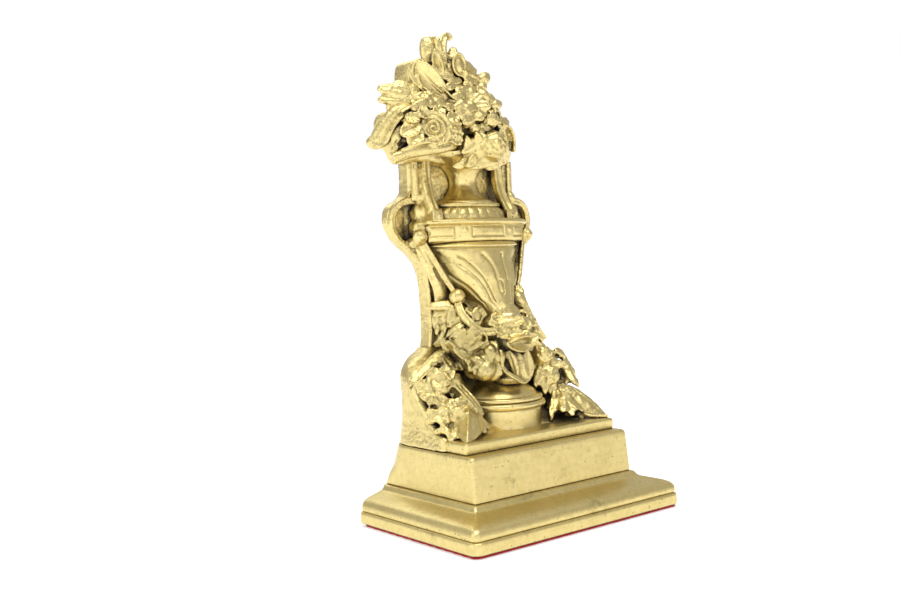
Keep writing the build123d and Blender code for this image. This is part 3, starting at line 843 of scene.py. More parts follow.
# ------------------------------------------------------------------ mound and back
MOUND = [                         # half width, front Y, back corner radius, height
    (47, -4, 17.2, 34.9), (46.7, -4, 17.3, 37.5), (46.3, -3, 17.4, 40.2), (46, 1.5, 18, 43),
    (45.8, 6, 18.5, 47), (45.6, 14, 18.5, 56), (45.6, 18, 18, 62), (44.7, 20.5, 16.5, 66.5),
    (41.5, 23, 13.5, 70), (36, 26, 9, 73.4), (30, 28.5, 5, 75.6), (26.5, 30.5, 3, 77.6)]


def build_mound():
    rings = []
    for half, front, rear, z in curve_through(MOUND, 8):
        rings.append(plan_ring(half, front, 4, rear, z, pitch=1))
    clay = Clay().add(*rings_shell(rings))
    mesh_piece("rear_mound", clay, RELIEF, rough=0.8, soften=4)


PLATE_OUTLINE = np.array([        # half width, height
    (25.4, 74), (24.4, 78), (23.7, 84), (23.5, 92), (23.8, 102), (24.6, 109.5), (26.6, 115.5),
    (30.5, 120.5), (35.5, 124.5), (40, 129), (42.6, 133.5), (43.3, 137.5), (42.4, 141.5), (39.6, 144.4),
    (35.6, 146.6), (33.4, 149), (32.7, 152), (32.6, 158), (32.8, 166)])


def build_plate():
    heights = np.linspace(74.5, 165.5, 182)
    half = smooth_lookup(heights, PLATE_OUTLINE[:, 1], PLATE_OUTLINE[:, 0])
    outline = np.stack([half, heights], 1)
    narrow = 3.0 * np.clip((heights - 143) / 8, 0, 1)
    columns = 170
    rings = []
    for w, lost, z in zip(half, narrow, heights):
        x = np.linspace(-w, w, columns)
        place = np.stack([np.abs(x), z + 0 * x], 1)
        near = line_distance(place, outline)
        beside = np.clip((np.abs(x) - 25) / 8, 0, 1)
        thin = 2.6 * beside * np.clip((z - 118) / 6, 0, 1) * np.clip((147 - z) / 3, 0, 1)
        y = PLATE_FRONT + thin + 1.6 * np.clip((near - 1.7) / 0.8, 0, 1)
        y = y + 0.8 * np.exp(-(near / 0.45) ** 2)
        x = np.where(x > 0, x * (w - lost) / w, x)
        inset = np.linspace(0, 1, 8)[1:-1]
        right = np.stack([x[-1] + 0 * inset, y[-1] + (BACK - y[-1]) * inset, z + 0 * inset], 1)
        backs = np.stack([np.linspace(x[-1], x[0], 40), BACK + np.zeros(40), z + np.zeros(40)], 1)
        left = np.stack([x[0] + 0 * inset, BACK + (y[0] - BACK) * inset, z + 0 * inset], 1)
        rings.append(np.vstack([np.stack([x, y, z + 0 * x], 1), right, backs, left]))
    clay = Clay().add(*rings_shell(np.array(rings)))
    mesh_piece("back_plate", clay, RELIEF, rough=0.5, soften=1)


BOUQUET_OUTLINE = [               # X and height of the edge of the bouquet's ground
    (-31, 163), (-35.5, 163), (-37, 166.5), (-37, 171), (-35.5, 178), (-34.5, 186), (-34, 192),
    (-33.3, 197), (-33, 200), (-32.8, 205), (-31.3, 208.9), (-27, 210.6), (-20.5, 211.4), (-17.4, 213),
    (-17, 217.5), (-16.6, 221.4), (-15.4, 222.8), (-14.4, 221), (-13.4, 217), (-9.5, 214.5), (-6, 216.6),
    (-2.2, 215), (-1.8, 212), (2, 207.5), (6, 204.5), (9, 204), (12.8, 204.8), (14, 203), (13, 199.5),
    (15, 194.8), (18.6, 193.6), (22, 191.2), (21.8, 188), (25.5, 185.6), (28.5, 181.5), (29.6, 174.5),
    (28.6, 167.5), (25.5, 163), (20, 162), (0, 161.5), (-18, 162)]


def build_bouquet_back():
    outline = curve_through([BOUQUET_OUTLINE[-1]] + BOUQUET_OUTLINE, 5)
    middle = np.array([-6, 187])
    rings = []
    layers = [(BACK, 1), (37.5, 1), (34, 1), (31, 0.99), (29.4, 0.97), (28.4, 0.93), (27.8, 0.85),
        (27.4, 0.6), (27.2, 0.3)]
    for y, scale in layers:
        around = middle + (outline - middle) * scale
        rings.append(np.stack([around[:, 0], y + 0 * around[:, 0], around[:, 1]], 1))
    clay = Clay().add(*rings_shell(np.array(rings)))
    relief_piece("bouquet_back", clay, voxel=0.6, rough=0.6)


# ------------------------------------------------------------------ straps, handles, swags
STRAP_EDGE = {-1: 32.0, 1: 29.4}     # from the middle; the right strap sits closer in than the left one
STRAP_INNER = {-1: 24.6, 1: 20.8}


def sided(points, side):
    return np.array([(x * side, y, z) for x, y, z in points])


def build_side(name, side):
    """The strap, handle, ball and swag of one side; side is -1 for the left and 1 for the right."""
    strap = Clay()
    edge = STRAP_EDGE[side]
    ribbon(strap, sided([(edge - 1.4, 33, 145.5), (edge - 1.9, 32.6, 150), (edge - 1.9, 32.6, 165)],
        side), 3.4, 4.2)
    ribbon(strap, sided([(edge - 5, 34, 146.5), (edge - 5, 33.6, 165)], side), 1.8, 2.6)
    inner = STRAP_INNER[side]
    ribbon(strap, sided([(inner + 0.2, 24.2, 140), (inner + 0.1, 26, 143), (inner - 0.2, 28.4, 147.7),
        (inner - 0.6, 30.3, 154), (inner - 0.8, 31, 160), (inner - 1, 31.2, 165.5)],
        side) + np.array([NECK_SHIFT, 0, 0]), 4.8, 5, out=(-0.15 * side, -1, 0), groove=1.1, ends=(1.15, 1))
    block = np.array([(-3, -2.6, -2.6), (3, -2.6, -2.6), (3, 4.5, -2.6), (-3, 4.5, -2.6),
        (-2.7, -2.3, 2.4), (2.7, -2.3, 2.4), (2.7, 4.5, 2.4), (-2.7, 4.5, 2.4)])
    faces = [(0, 3, 2, 1), (4, 5, 6, 7), (0, 1, 5, 4), (1, 2, 6, 5), (2, 3, 7, 6), (3, 0, 4, 7)]
    foot = np.array([(inner - 0.2) * side + NECK_SHIFT, 23.6, 138.2])
    strap.add(block + foot, faces)
    ball(strap, foot + (0.4, -2.6, 0), (0.8, 0.8, 0.7))
    ball(strap, foot + (-4.4 * side, 3.4, 0.2), (2.4, 2.8, 2.8))
    lumps = [((27.6, 34.6, 147), (3.6, 4, 6)), ((27.4, 33.2, 140), (4.4, 5, 5.6)),
        ((29, 32, 132.5), (4.4, 5, 5.4))]
    for place, size in lumps:
        ball(strap, (place[0] * side, place[1], place[2]), size)
    relief_piece(f"{name}_strap", strap)

    handle = Clay()
    ribbon(handle, sided([(29, 34, 145.8), (33.4, 34.4, 145.6), (37.6, 34.8, 144.2), (40.6, 35.2, 141),
        (41.8, 35.4, 136.8), (41.4, 35.2, 132.6), (39, 34.8, 128.2), (35.4, 34, 124.8), (31.4, 33.6, 121),
        (27.2, 33.2, 116.6), (24.6, 33.2, 112), (23.2, 33.6, 106.5)], side), 4, 4.6,
        out=(-0.1 * side, -1, 0), groove=0.5, ends=(1, 0.45))
    ribbon(handle, sided([(34.5, 32, 128), (31, 31, 123.5), (27.2, 29.6, 118.2), (24.6, 29.4, 113.4)],
        side), 1.9, 5, ends=(1, 0.6))
    ribbon(handle, sided([(30.6, 26.6, 126), (28.4, 24.8, 121), (25.6, 22.8, 114.6), (22.8, 21, 108.6),
        (20.6, 19.8, 104.6), (19, 19.2, 101.8)], side), 2.6, 2.6, out=(0.5 * side, -0.85, 0), groove=0.8,
        ends=(1, 0.95), power=2)
    ribbon(handle, sided([(32.4, 28.4, 126), (29.6, 27.6, 120.6), (26.6, 26.6, 114.4), (24.2, 26, 108),
        (23, 26, 104)], side), 1.5, 3, out=(0.5 * side, -0.85, 0), ends=(1, 0.7))
    ribbon(handle, sided([(30.4, 30.4, 126), (27.8, 29.2, 119.5), (25, 27.8, 112.5), (22.4, 26.6, 105),
        (20.6, 27, 97)], side), 7.6, 5.4, out=(0.3 * side, -0.95, 0), ends=(0.8, 0.9), power=2)
    ball(handle, (32.6 * side, 26.4, 128.8), (3.7, 3.5, 3))
    ball(handle, (32.8 * side, 25.2, 128.8), (2.4, 2.2, 2.6))
    ball(handle, (33.2 * side, 29.6, 126.2), (2.8, 2.6, 3.4))
    relief_piece(f"{name}_handle", handle)

    sphere = Clay()
    ball(sphere, (18.4 * side, 18.8, 100.6), 3.8, rows=30, columns=44)
    mesh_piece(f"{name}_ball", sphere, SMOOTH, rough=0.12)

    swag = Clay()
    if side < 0:
        path = [(-19.4, 17.5, 97.6), (-19.8, 13.6, 92.4), (-18, 8.6, 87.2), (-14.4, 5.4, 84.4),
            (-9.6, 3.2, 84.4)]
    else:
        path = [(18.4, 18, 104), (17.6, 14.6, 98), (17.6, 10.6, 91), (19.4, 7.2, 83.4), (23.5, 7, 78)]
        ball(swag, (15.6, 21.5, 97), (5, 6, 10.5))
    ribbon(swag, path, 4.2, 4.4, out=(-0.5, -0.9, 0.3), groove=1.1, ends=(0.9, 1))
    relief_piece(f"{name}_swag", swag)


# ------------------------------------------------------------------ bouquet
OUT = (-0.35, -0.9, 0.25)


def wrap_petal(clay, centre, radius, spin, start=100, end=25, width=55, lift=0.10, yaw=0, pitch=0,
        thick=1.2, rows=18, columns=17):
    """A petal that hugs a globe from its equator towards its pole, with its lip standing off a little."""
    s = np.linspace(0, 1, rows)[:, None]
    t = np.linspace(-1, 1, columns)[None, :]
    polar = np.radians(start + (end - start) * s)
    half = np.radians(width / 2) * np.sin(pi * (0.12 + 0.80 * s)) ** 0.55 / np.maximum(np.sin(polar), 0.45)
    around = radians(spin) + t * half
    reach = radius * (1 + lift * (s ** 4 + 0.5 * t ** 4) + 0.02 * np.sin(5 * t))
    local = np.stack([reach * np.sin(polar) * np.cos(around), reach * np.sin(polar) * np.sin(around),
        reach * np.cos(polar) + 0 * t], axis=2)
    clay.add(*sheet_shell(put(local, centre, yaw, pitch), thick))


def globe_bloom(clay, centre, radius, yaw, pitch, seed=1, outer=5, inner=4):
    """A half-open flower whose petals overlap round a globe."""
    chance = np.random.default_rng(seed)
    ball(clay, centre, radius * 0.86, yaw, pitch)
    for count, start, end, size, wide in ((outer, 105, 42, 1, 78), (inner, 75, 22, 0.97, 66),
            (3, 45, 6, 0.95, 60)):
        offset = chance.uniform(0, 360)
        for i in range(count):
            wrap_petal(clay, centre, radius * size, offset + 360 * i / count + chance.uniform(-8, 8),
                start, end + chance.uniform(-5, 5), wide, 0.16, yaw, pitch, thick=radius * 0.17)


def litter(clay, centre, radii, count, size, seed, out=(-0.45, -0.8, 0.35), spread=0.9):
    """Many small petals and lumps strewn over the front of an egg, as in a crowded garland."""
    chance = np.random.default_rng(seed)
    centre = np.array(centre, float)
    radii = np.array(radii, float)
    out = np.array(out) / np.linalg.norm(out)
    for _ in range(count):
        normal = out + chance.normal(0, 0.45, 3) * spread
        normal /= np.linalg.norm(normal)
        start = centre + radii * normal
        along = np.cross(normal, chance.normal(0, 1, 3))
        along /= np.linalg.norm(along)
        length = size * chance.uniform(0.7, 1.35)
        petal(clay, start - normal * 0.6, start + along * length - normal * 0.2,
            length * chance.uniform(0.5, 0.85), out=tuple(normal), thick=1.5,
            bend=chance.uniform(-30, 25), cup=chance.uniform(-0.6, 0.5), rim=chance.uniform(0, 0.4),
            rows=14, columns=11)
        if chance.uniform() < 0.4:
            ball(clay, start + along * length * 0.4, size * chance.uniform(0.16, 0.3), rows=8, columns=12)


def build_rose():
    clay = Clay()
    centre = np.array([-30.2, 16.6, 176.7])
    yaw, pitch = -26, 6
    axes = facing(yaw, pitch)
    ball(clay, (-29, 23.5, 176), (14, 7.5, 8))
    ball(clay, centre - axes[2] * 2.2, (9.5, 7.6, 4.2), yaw, pitch)
    rose_spiral(clay, centre + axes[2] * 1.2, 6, yaw, pitch, turns=2.4, height=1.2)
    spread = [(-8, 8.8, 8, 20), (34, 8.6, 8, 30), (72, 8.4, 8.5, 34), (110, 8.6, 8.5, 34),
        (150, 9, 8.5, 26), (190, 9.4, 8.5, 20), (232, 9, 8.5, 26), (276, 8.6, 8.5, 30), (318, 8.8, 8.5, 22)]
    for spin, reach, wide, curl in spread:
        blade(clay, centre - axes[2] * 0.8, reach, wide, yaw, pitch, spin, thick=1.5, bend=curl, cup=0.1,
            point=1.9, blunt=0.5, wave=0.4, waves=1.1, midrib=0, rim=0.55, columns=21)
    leaves = [((-37, 17, 179), (-45.5, 20.5, 173), 8, (-0.6, -0.8, 0.2)),
        ((-37, 17, 176), (-42.5, 18.5, 168.8), 7.5, (-0.6, -0.8, 0)),
        ((-37.5, 17, 181), (-43.5, 19.5, 180.5), 6, (-0.5, -0.7, 0.5)),
        ((-38, 18.5, 183), (-43, 20.5, 178), 4.6, (-0.6, -0.8, 0.3)),
        ((-22.5, 15, 178.5), (-14.6, 16.8, 178.2), 6.5, (-0.1, -0.95, 0.2)),
        ((-22.5, 14.6, 176), (-14.4, 16.4, 174.2), 5, (-0.1, -0.95, 0)),
        ((-22, 14.8, 173), (-14.8, 16.4, 171.4), 5, (-0.1, -0.95, -0.1)),
        ((-22.5, 15.5, 181), (-15.5, 17.5, 183), 6, (-0.1, -0.9, 0.4)),
        ((-29, 15.8, 182.5), (-24, 17.5, 186), 6.5, (-0.3, -0.8, 0.5)),
        ((-33, 16.4, 182), (-37, 18.5, 185.2), 6, (-0.5, -0.7, 0.5))]
    petals(clay, leaves, thick=1.8, bend=16, cup=0.2, rim=0.55, wave=0.4, blunt=0.55, point=0.9, midrib=0.2)
    # the long petal folded under the rose, with a lip along its upper edge
    ribbon(clay, [(-49.5, 21.5, 163.4), (-43, 18.8, 165.4), (-34, 17.2, 167), (-25, 17, 168.2),
        (-17, 18.4, 170.2)], 6.8, 6.5, out=(-0.35, -0.85, -0.4), ends=(0.75, 0.6), power=2.2)
    ribbon(clay, [(-46.5, 19, 166.8), (-41, 16.6, 168.8), (-34.5, 15.2, 170.4), (-29, 14.8, 170),
        (-23, 14.8, 171), (-16, 16.2, 172.2)], 1.9, 2.8, out=(-0.35, -0.85, 0.1), ends=(0.8, 0.6))
    ribbon(clay, [(-38, 16.6, 171.8), (-32, 15, 171.8), (-26, 14.6, 172.6)], 1.3, 2)
    relief_piece("rose", clay, voxel=0.32, rough=0.25, fill=0.2)


def build_daisy():
    clay = Clay()
    heart = np.array([-7.4, 17.6, 188.6])
    yaw, pitch = -22, 22
    axes = facing(yaw, pitch)
    ball(clay, (-9, 29.5, 189), (14, 8, 12))
    spread = [(2, 10.5, 6.4), (42, 9, 6), (84, 9.4, 6.4), (128, 10.6, 6.6), (170, 10.8, 6.4),
        (212, 9.4, 6.4), (256, 9, 6.2), (304, 9.2, 6.2)]
    for spin, reach, wide in spread:
        blade(clay, heart - axes[2] * 0.4, reach, wide, yaw, pitch, spin, thick=2, bend=8, cup=-0.35,
            point=1.15, blunt=0.6, midrib=0.9)
    ball(clay, heart + axes[2] * 0.9, (2.2, 2, 1.4), yaw, pitch)
    leaves = [((-16, 22.5, 198.5), (-2, 22.5, 200), 6), ((-13, 20.5, 194.5), (-2.5, 20, 197.8), 5),
        ((-5, 20, 196), (4.5, 21, 197), 5), ((-3, 18, 192), (5.5, 19, 194), 5),
        ((-16.5, 19, 191), (-9, 18, 194.5), 5.2), ((-17, 17, 186), (-10, 16, 190.5), 5),
        ((-14.5, 15.4, 181), (-5.5, 14.6, 184), 6.2), ((-5.5, 14.8, 184.5), (2, 15.5, 187), 5.4),
        ((-16.5, 16.4, 183.5), (-10.5, 15.4, 187), 4.6), ((-12, 15, 186), (-5, 15, 188.5), 4.6),
        ((-18.5, 20, 196), (-13, 20.5, 199.5), 4)]
    petals(clay, leaves, out=OUT, thick=2, bend=-14, cup=-0.45, midrib=0.7, veins=4, vein=0.2)
    closed = [((-8, 17.5, 176.5), (-3.4, 15.2, 179.6), 2.6), ((-4.5, 18, 175), (0, 15.8, 177.8), 2.4),
        ((-12.5, 18, 179), (-8.5, 15.6, 180.5), 2.2)]
    buds(clay, closed, point=0.8)
    relief_piece("daisy", clay, rough=0.3, fill=0.25)


def build_lower_flower():
    clay = Clay()
    ball(clay, (0, 24, 168.5), (11, 8, 6.5))
    globe_bloom(clay, (4.6, 16.6, 169.6), 6.9, -24, 8, seed=6)
    leaves = [((3, 14, 176), (12, 16.5, 172), 5.5, (0, -0.9, 0.4), -24),
        ((9, 14.5, 172), (13, 17.5, 164.5), 5, (0.2, -0.9, 0.1), -20),
        ((-2, 14, 175.5), (-8, 15, 168), 5, (-0.6, -0.75, 0.2), -14),
        ((-6, 15, 172.5), (-13.5, 17, 166.5), 5.5, (-0.5, -0.8, 0.1), -10),
        ((-2, 14.5, 167), (-12, 17, 164), 5, (-0.4, -0.8, -0.2), -16),
        ((5, 15.4, 164.4), (-8.5, 16.5, 159.4), 5.6, (-0.35, -0.85, -0.4), -12),
        ((-6, 15.4, 165), (-12, 16.5, 160), 4.6, (-0.35, -0.85, -0.3), 10),
        ((11, 16, 165), (4, 16, 160.6), 4.6, (-0.1, -0.85, -0.4), -12),
        ((-4, 17, 164), (-17, 18.5, 160), 6, (-0.35, -0.85, -0.3), -12),
        ((9.5, 15, 163.5), (0, 16, 159.2), 6, (0, -0.85, -0.5), -8),
        ((-4.5, 15, 170), (-7.5, 13.8, 176), 4.4, OUT, 10),
        ((-9.5, 17, 168), (-11.5, 16, 174.5), 4, OUT, 10)]
    petals(clay, leaves, thick=2.2, cup=-0.35, midrib=0.8)
    relief_piece("lower_flower", clay)


def build_rolled_leaf():
    clay = Clay()
    # a long leaf rolled into a scroll that droops to the left
    ribbon(clay, [(-34.5, 25.5, 186.4), (-39.5, 25.2, 186), (-45, 25.5, 184), (-49, 26.4, 179.8),
        (-51.8, 27.2, 175.4), (-53.4, 28, 171.6)], 7.6, 7.4, out=(-0.5, -0.65, 0.55), ends=(0.7, 0.85),
        power=2.1)
    ribbon(clay, [(-36, 22.4, 184.2), (-41.5, 22.2, 182.6), (-45.8, 22.8, 179.2), (-48.4, 23.8, 175),
        (-50.2, 25.2, 170.6)], 1.9, 3, out=(-0.4, -0.8, 0.2), ends=(0.8, 1))
    ribbon(clay, [(-36, 21.4, 187), (-40, 21, 186.2), (-44, 21.4, 184)], 3, 2.4, out=(-0.4, -0.6, 0.7),
        ends=(0.7, 0.6))
    ball(clay, (-53.2, 28.6, 171.2), (4.4, 3.4, 3.4), yaw=-35)
    ribbon(clay, [(-50.2, 25.4, 170.2), (-53.4, 25.6, 169), (-56.2, 27.6, 170.6), (-55.8, 27.8, 173.4),
        (-52.6, 26, 174)], 1.6, 1.8, out=(-0.6, -0.8, 0))
    ball(clay, (-45, 31, 178.5), (6, 7, 5), yaw=-20, spin=30)
    relief_piece("rolled_leaf", clay)


def build_low_petals():
    clay = Clay()
    ball(clay, (-42, 29, 173.5), (8, 8, 8.5))
    litter(clay, (-43, 27, 172.5), (4.5, 5.5, 5.5), 14, 3.4, 9, out=(-0.6, -0.75, 0.1), spread=0.7)
    petal(clay, (-40, 22.5, 176.5), (-46.5, 25.5, 166), 5, out=(-0.5, -0.85, 0.1), thick=2, bend=10,
        cup=0.5, rim=0.4)
    petal(clay, (-39.5, 22, 171.5), (-46.8, 25, 162), 6.5, out=(-0.5, -0.85, -0.1), thick=2.2, bend=10,
        cup=0.3, rim=0.5, wave=0.5)
    petal(clay, (-45, 30, 171), (-43, 28, 161.8), 7, out=(-0.9, -0.3, -0.2), thick=3, bend=6, cup=-0.3)
    relief_piece("low_petals", clay)


def build_leaf_fan():
    clay = Clay()
    ball(clay, (-36.5, 33, 191.5), (6, 7, 4.5))
    leaves = [((-30.5, 25, 194), (-42, 28.6, 198.4), 7), ((-30, 25, 192.5), (-49.6, 29.6, 196.4), 8),
        ((-30.5, 24.5, 190.5), (-49.8, 29.8, 191.4), 7.5), ((-31.5, 24, 189), (-46.5, 28.5, 187.2), 6.5)]
    petals(clay, leaves, out=(-0.45, -0.75, 0.45), thick=3.2, bend=-8, cup=-0.35, midrib=0.8, veins=8,
        vein=0.3, point=0.9)
    leaves = [((-38.5, 20.5, 184.5), (-35, 18.6, 189), 5), ((-36, 19.5, 187), (-30, 18.2, 190), 5.4),
        ((-30.5, 18.6, 187), (-24.5, 18.2, 189), 5), ((-26.5, 18.8, 188.5), (-20.5, 18.6, 191), 5.4),
        ((-21.5, 18, 186.5), (-15, 17.6, 189), 5), ((-29, 20.5, 190.5), (-23.5, 20.5, 193.5), 4.6),
        ((-34.5, 22, 190.5), (-29.5, 21.5, 194), 4.6)]
    petals(clay, leaves, out=OUT, thick=2.2, bend=-22, cup=-0.5, midrib=0.6)
    litter(clay, (-29, 25, 190), (8, 5.5, 3.5), 10, 3.4, 17)
    relief_piece("leaf_fan", clay)


def build_rimmed_leaf():
    clay = Clay()
    # a broad smooth leaf with a raised rim, sweeping from the upper left edge to the middle
    petal(clay, (-31.2, 28.6, 206.5), (-18.2, 20.4, 191), 11.5, out=(-0.5, -0.85, 0), thick=2.2, bend=-4,
        cup=0.45, midrib=0, point=0.72, blunt=0.55)
    ribbon(clay, [(-31.8, 28.6, 196), (-32, 28.6, 203), (-31.2, 28.4, 207.2), (-28.6, 28, 209.3),
        (-26, 27.2, 208.6), (-24, 25.8, 205.6), (-22.2, 24, 200.8), (-20, 21.6, 196.2),
        (-17, 19.6, 192.2), (-14, 18.8, 190.4)], 1.6, 4.6, out=(-0.3, -0.95, 0.1), ends=(0.9, 0.8))
    ribbon(clay, [(-30.6, 26.2, 201.5), (-29.4, 25, 197.4), (-26, 22.6, 194), (-21, 20.4, 191.2)], 1.8,
        3.4, out=(-0.3, -0.95, 0.1), ends=(0.7, 0.8))
    ribbon(clay, [(-29.6, 27, 206.6), (-27.8, 25.6, 203.4), (-24.6, 23.4, 198.4), (-20.8, 20.9, 194)], 1,
        2.2, out=(-0.4, -0.9, 0.1), ends=(0.5, 0.8))
    relief_piece("rimmed_leaf", clay, voxel=0.32, rough=0.25, fill=0.2)


def build_top_leaves():
    clay = Clay()
    ball(clay, (-14, 33, 207), (8, 8, 5))
    petal(clay, (-20.6, 30.5, 207), (-18.8, 33, 222), 6.4, out=(-0.5, -0.85, 0.1), thick=4.4, bend=-6,
        cup=-0.5, midrib=0, point=1.25, blunt=0.55)
    ribbon(clay, [(-15, 26.8, 200.5), (-14.8, 27.4, 206), (-14.2, 28.2, 212), (-13, 29.2, 217.6),
        (-11, 29.8, 221.6), (-8.8, 29.6, 222.6), (-7.6, 29, 220.9)], 5.2, 3.2, out=(-0.5, -0.85, 0.1),
        groove=0.8, ends=(1.25, 0.42))
    petal(clay, (-18.8, 25, 202.5), (-19.6, 26.6, 214.6), 5, out=(-0.5, -0.8, 0.1), thick=2, bend=6,
        cup=0.7, rim=0.6)
    ribbon(clay, [(-21.2, 25.6, 205), (-21.8, 25.8, 210), (-19.8, 26, 214.4), (-17.4, 25.4, 210.5),
        (-17, 24.8, 204.5)], 1.2, 2.4, out=(-0.4, -0.9, 0.1))
    leaves = [((-12, 25, 200.5), (-11, 27, 211.5), 4), ((-22.5, 25, 207), (-19, 23.6, 199.5), 3.6),
        ((-18.5, 23.5, 202.5), (-11, 22.4, 202), 4.6), ((-16, 22.4, 199.8), (-7, 21.8, 201), 4.2),
        ((-13, 24, 205), (-9.5, 24.5, 209.5), 3.6)]
    petals(clay, leaves, out=OUT, thick=2, bend=-10, cup=-0.45, midrib=0.6)
    litter(clay, (-14.5, 27.5, 204), (5, 4.5, 4), 8, 3, 23)
    relief_piece("top_leaves", clay)


def build_top_buds():
    clay = Clay()
    ball(clay, (-2, 29, 205.5), (7, 6.5, 6))
    bud(clay, (-8.4, 25, 202.5), (-8, 24.6, 213), 3, point=0.8)
    ring = [(-8.2 + 3.9 * cos(a), 23.4 + 0.4 * cos(a), 208 + 5 * sin(a)) for a in np.linspace(-1.2, 4.9, 12)]
    ribbon(clay, ring, 1.4, 2.6, out=(-0.4, -0.9, 0.1))
    petal(clay, (-7.4, 28.5, 206.5), (-5.6, 30.2, 218.4), 6.4, out=OUT, thick=3.2, bend=-8, cup=-0.3,
        midrib=0.7)
    petal(clay, (-4.6, 27.5, 206.5), (-1.6, 29.4, 214.6), 5.6, out=OUT, thick=2.8, bend=-10, cup=-0.3,
        midrib=0.6)
    chance = np.random.default_rng(31)
    for row in range(4):
        for column in range(6):
            place = (-6.4 + 1.95 * column + 0.9 * (row % 2), 21.8 + 0.45 * column,
                199.0 + 1.75 * row - 0.3 * column)
            ball(clay, np.array(place) + chance.normal(0, 0.2, 3), chance.uniform(1.1, 1.4), rows=10,
                columns=14)
    bud(clay, (3.4, 23.8, 200.6), (12.2, 26, 205.6), 3.2, point=0.9)
    bud(clay, (2.5, 23, 197.6), (8.5, 23.6, 199.5), 2.2, point=0.9)
    petal(clay, (-1, 23.5, 204.5), (3.8, 25, 208.2), 3.8, out=OUT, thick=2, bend=-14, cup=-0.3)
    relief_piece("top_buds", clay)


def build_right_buds():
    clay = Clay()
    ball(clay, (8, 28, 191), (9, 7, 6.5))
    ball(clay, (7, 24, 183), (8, 6.5, 4))
    bud(clay, (-0.6, 20, 195.6), (6.8, 20.4, 190.6), 3.6, point=0.72)
    petal(clay, (-1, 19.6, 197), (8, 21.4, 195.4), 4.4, out=OUT, thick=2.2, bend=-20, cup=-0.4, midrib=0.5)
    petal(clay, (-2.4, 17.6, 189.8), (6.4, 18, 187.4), 5, out=OUT, thick=2.4, bend=-18, cup=-0.45,
        midrib=0.5)
    bud(clay, (6.8, 20.6, 188.6), (16.2, 22, 191.8), 2.9, point=0.9)
    globe_bloom(clay, (4.4, 18.2, 182.6), 4.3, -24, 12, seed=12, outer=4, inner=3)
    ring = [(9.6 + 1.9 * cos(a), 18.6, 185.2 + 1.9 * sin(a)) for a in np.linspace(-0.6, 4.6, 10)]
    ribbon(clay, ring, 1.1, 2.6)
    leaves = [((7, 20, 194), (13.5, 22.4, 193), 4.2), ((8, 19.5, 187), (14, 21.4, 185), 4),
        ((-3, 16.6, 180), (0.6, 15.8, 176.6), 3.6), ((0, 16.4, 178.8), (4.6, 16.4, 176.8), 3.6)]
    petals(clay, leaves, out=OUT, thick=2, bend=-20, cup=-0.4, midrib=0.5)
    litter(clay, (8, 26, 190), (7, 5.5, 7), 12, 3.2, 41, out=(-0.1, -0.9, 0.35))
    relief_piece("right_buds", clay)


def build_right_flower():
    clay = Clay()
    ball(clay, (17.5, 29, 174), (9, 8.5, 6.5))
    leaves = [((11.5, 19, 179.5), (22.5, 22.8, 185.6), 6, (0.1, -0.9, 0.4), -20),
        ((13, 20, 176.5), (24.6, 24, 179), 7, (0.2, -0.95, 0.2), -26),
        ((12.5, 19, 179), (22.8, 23.2, 166.2), 8, (0.1, -0.95, 0.1), -26),
        ((11, 18.5, 173.5), (19.5, 21.8, 162.8), 6, (0.1, -0.95, -0.1), -18),
        ((17.5, 23.5, 176.5), (28, 28, 172.4), 6.5, (0.3, -0.9, 0.1), -20),
        ((16, 23, 172), (26.6, 27.4, 164.6), 6.5, (0.3, -0.9, -0.1), -16)]
    petals(clay, leaves, thick=2.4, cup=-0.4, midrib=0.8, veins=5, vein=0.25)
    ribbon(clay, [(12.5, 18.4, 181), (18.5, 19.8, 179.6), (22.4, 21.4, 174.5), (22.6, 22, 168.5)], 1.4,
        2.6, out=(0, -1, 0.1))
    litter(clay, (17, 27, 175), (7, 6, 7), 8, 3.2, 47, out=(0, -0.95, 0.1))
    relief_piece("right_flower", clay)


